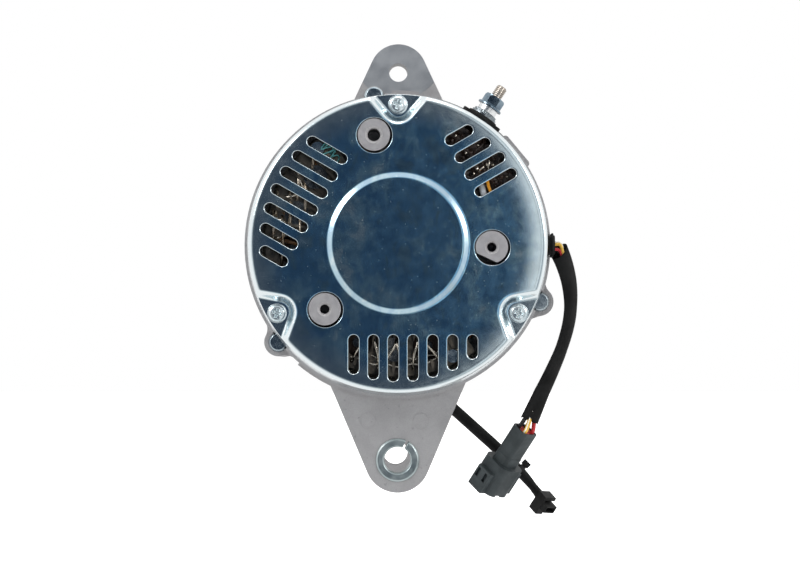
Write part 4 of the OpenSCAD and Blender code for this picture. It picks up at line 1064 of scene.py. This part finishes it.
def sheet(name, corners, look, at=(0, 0, 0)):
    mesh = bpy.data.meshes.new(name)
    mesh.from_pydata(corners, [], [(0, 1, 2, 3)])
    mesh.materials.append(look)
    obj = bpy.data.objects.new(name, mesh)
    obj.location = at
    scene.collection.objects.link(obj)
    return obj


def studio():
    world = bpy.data.worlds.new("studio")
    scene.world = world
    world.use_nodes = True
    world.node_tree.nodes["Background"].inputs["Color"].default_value = (1, 1, 1, 1)
    world.node_tree.nodes["Background"].inputs["Strength"].default_value = 1.0
    scene.view_settings.view_transform = "Standard"

    # A white floor, just under the lowest piece
    look = Surface("floor", rough=0.9, base=(0.9, 0.9, 0.9), spec=0.2)
    look.colour(look.ramp(look.noise(400, 2), (0.3, 0.88), (0.7, 0.92)))
    look.set("Emission Color", (1, 1, 1, 1))
    look.set("Emission Strength", 0.6)
    e, z = 6, -0.0316
    floor = sheet("floor", [(-e, -e, z), (e, -e, z), (e, e, z), (-e, e, z)], look.mat)
    floor.visible_glossy = False

    # A dark card behind the camera, as the unlit side of the studio
    half = 1.9
    dark, glow = glow_look("dark_card", 1.0)
    nodes, links = dark.node_tree.nodes, dark.node_tree.links
    coords = nodes.new("ShaderNodeTexCoord")
    ball = nodes.new("ShaderNodeTexGradient")
    ball.gradient_type = "SPHERICAL"
    spread = nodes.new("ShaderNodeMapping")
    spread.inputs["Scale"].default_value = (1 / half, 1, 1 / half)
    ramp = nodes.new("ShaderNodeValToRGB")
    stops = [
        (0.0, (0.8, 0.8, 0.8)), (0.30, (0.40, 0.42, 0.44)), (0.55, (0.10, 0.12, 0.15)),
        (0.80, (0.045, 0.065, 0.095)),
    ]
    while len(ramp.color_ramp.elements) < len(stops):
        ramp.color_ramp.elements.new(0.5)
    for element, (position, tone) in zip(ramp.color_ramp.elements, stops):
        element.position, element.color = position, (*tone, 1)
    links.new(coords.outputs["Object"], spread.inputs["Vector"])
    links.new(spread.outputs["Vector"], ball.inputs["Vector"])
    links.new(ball.outputs["Fac"], ramp.inputs["Fac"])
    links.new(ramp.outputs["Color"], glow.inputs["Color"])
    corners = [(-half, 0, -half), (half, 0, -half), (half, 0, half), (-half, 0, half)]
    card = sheet("dark_card", corners, dark, (0, -1.75, 0.16))
    card.visible_camera = card.visible_shadow = False
    card.visible_transmission = card.visible_volume_scatter = False

    # A pale strip at the right of the camera, mirrored in the crowned edge of the cover
    corners = [(0.31, 0, -0.9), (0.90, 0, -0.9), (0.90, 0, 1.1), (0.31, 0, 1.1)]
    strip = sheet("pale_strip", corners, glow_look("pale_strip", 1.1)[0], (0, -1.72, 0.0))
    strip.visible_camera = strip.visible_diffuse = strip.visible_shadow = False

    for name, place_at, size, power in (
        ("softbox_left", (-1.1, -0.9, 0.9), 0.7, 9.0),
        ("softbox_right", (1.2, -0.7, 0.6), 0.6, 6.0),
        ("softbox_top", (0.1, -0.2, 1.5), 0.9, 8.0),
    ):
        light = bpy.data.lights.new(name, "AREA")
        light.shape, light.size, light.energy = "DISK", size, power
        lamp = bpy.data.objects.new(name, light)
        lamp.location = place_at
        lamp.rotation_mode = "QUATERNION"
        aim = Vector((0, 0, 0.11)) - Vector(place_at)
        lamp.rotation_quaternion = aim.to_track_quat("-Z", "Y")
        scene.collection.objects.link(lamp)


studio()
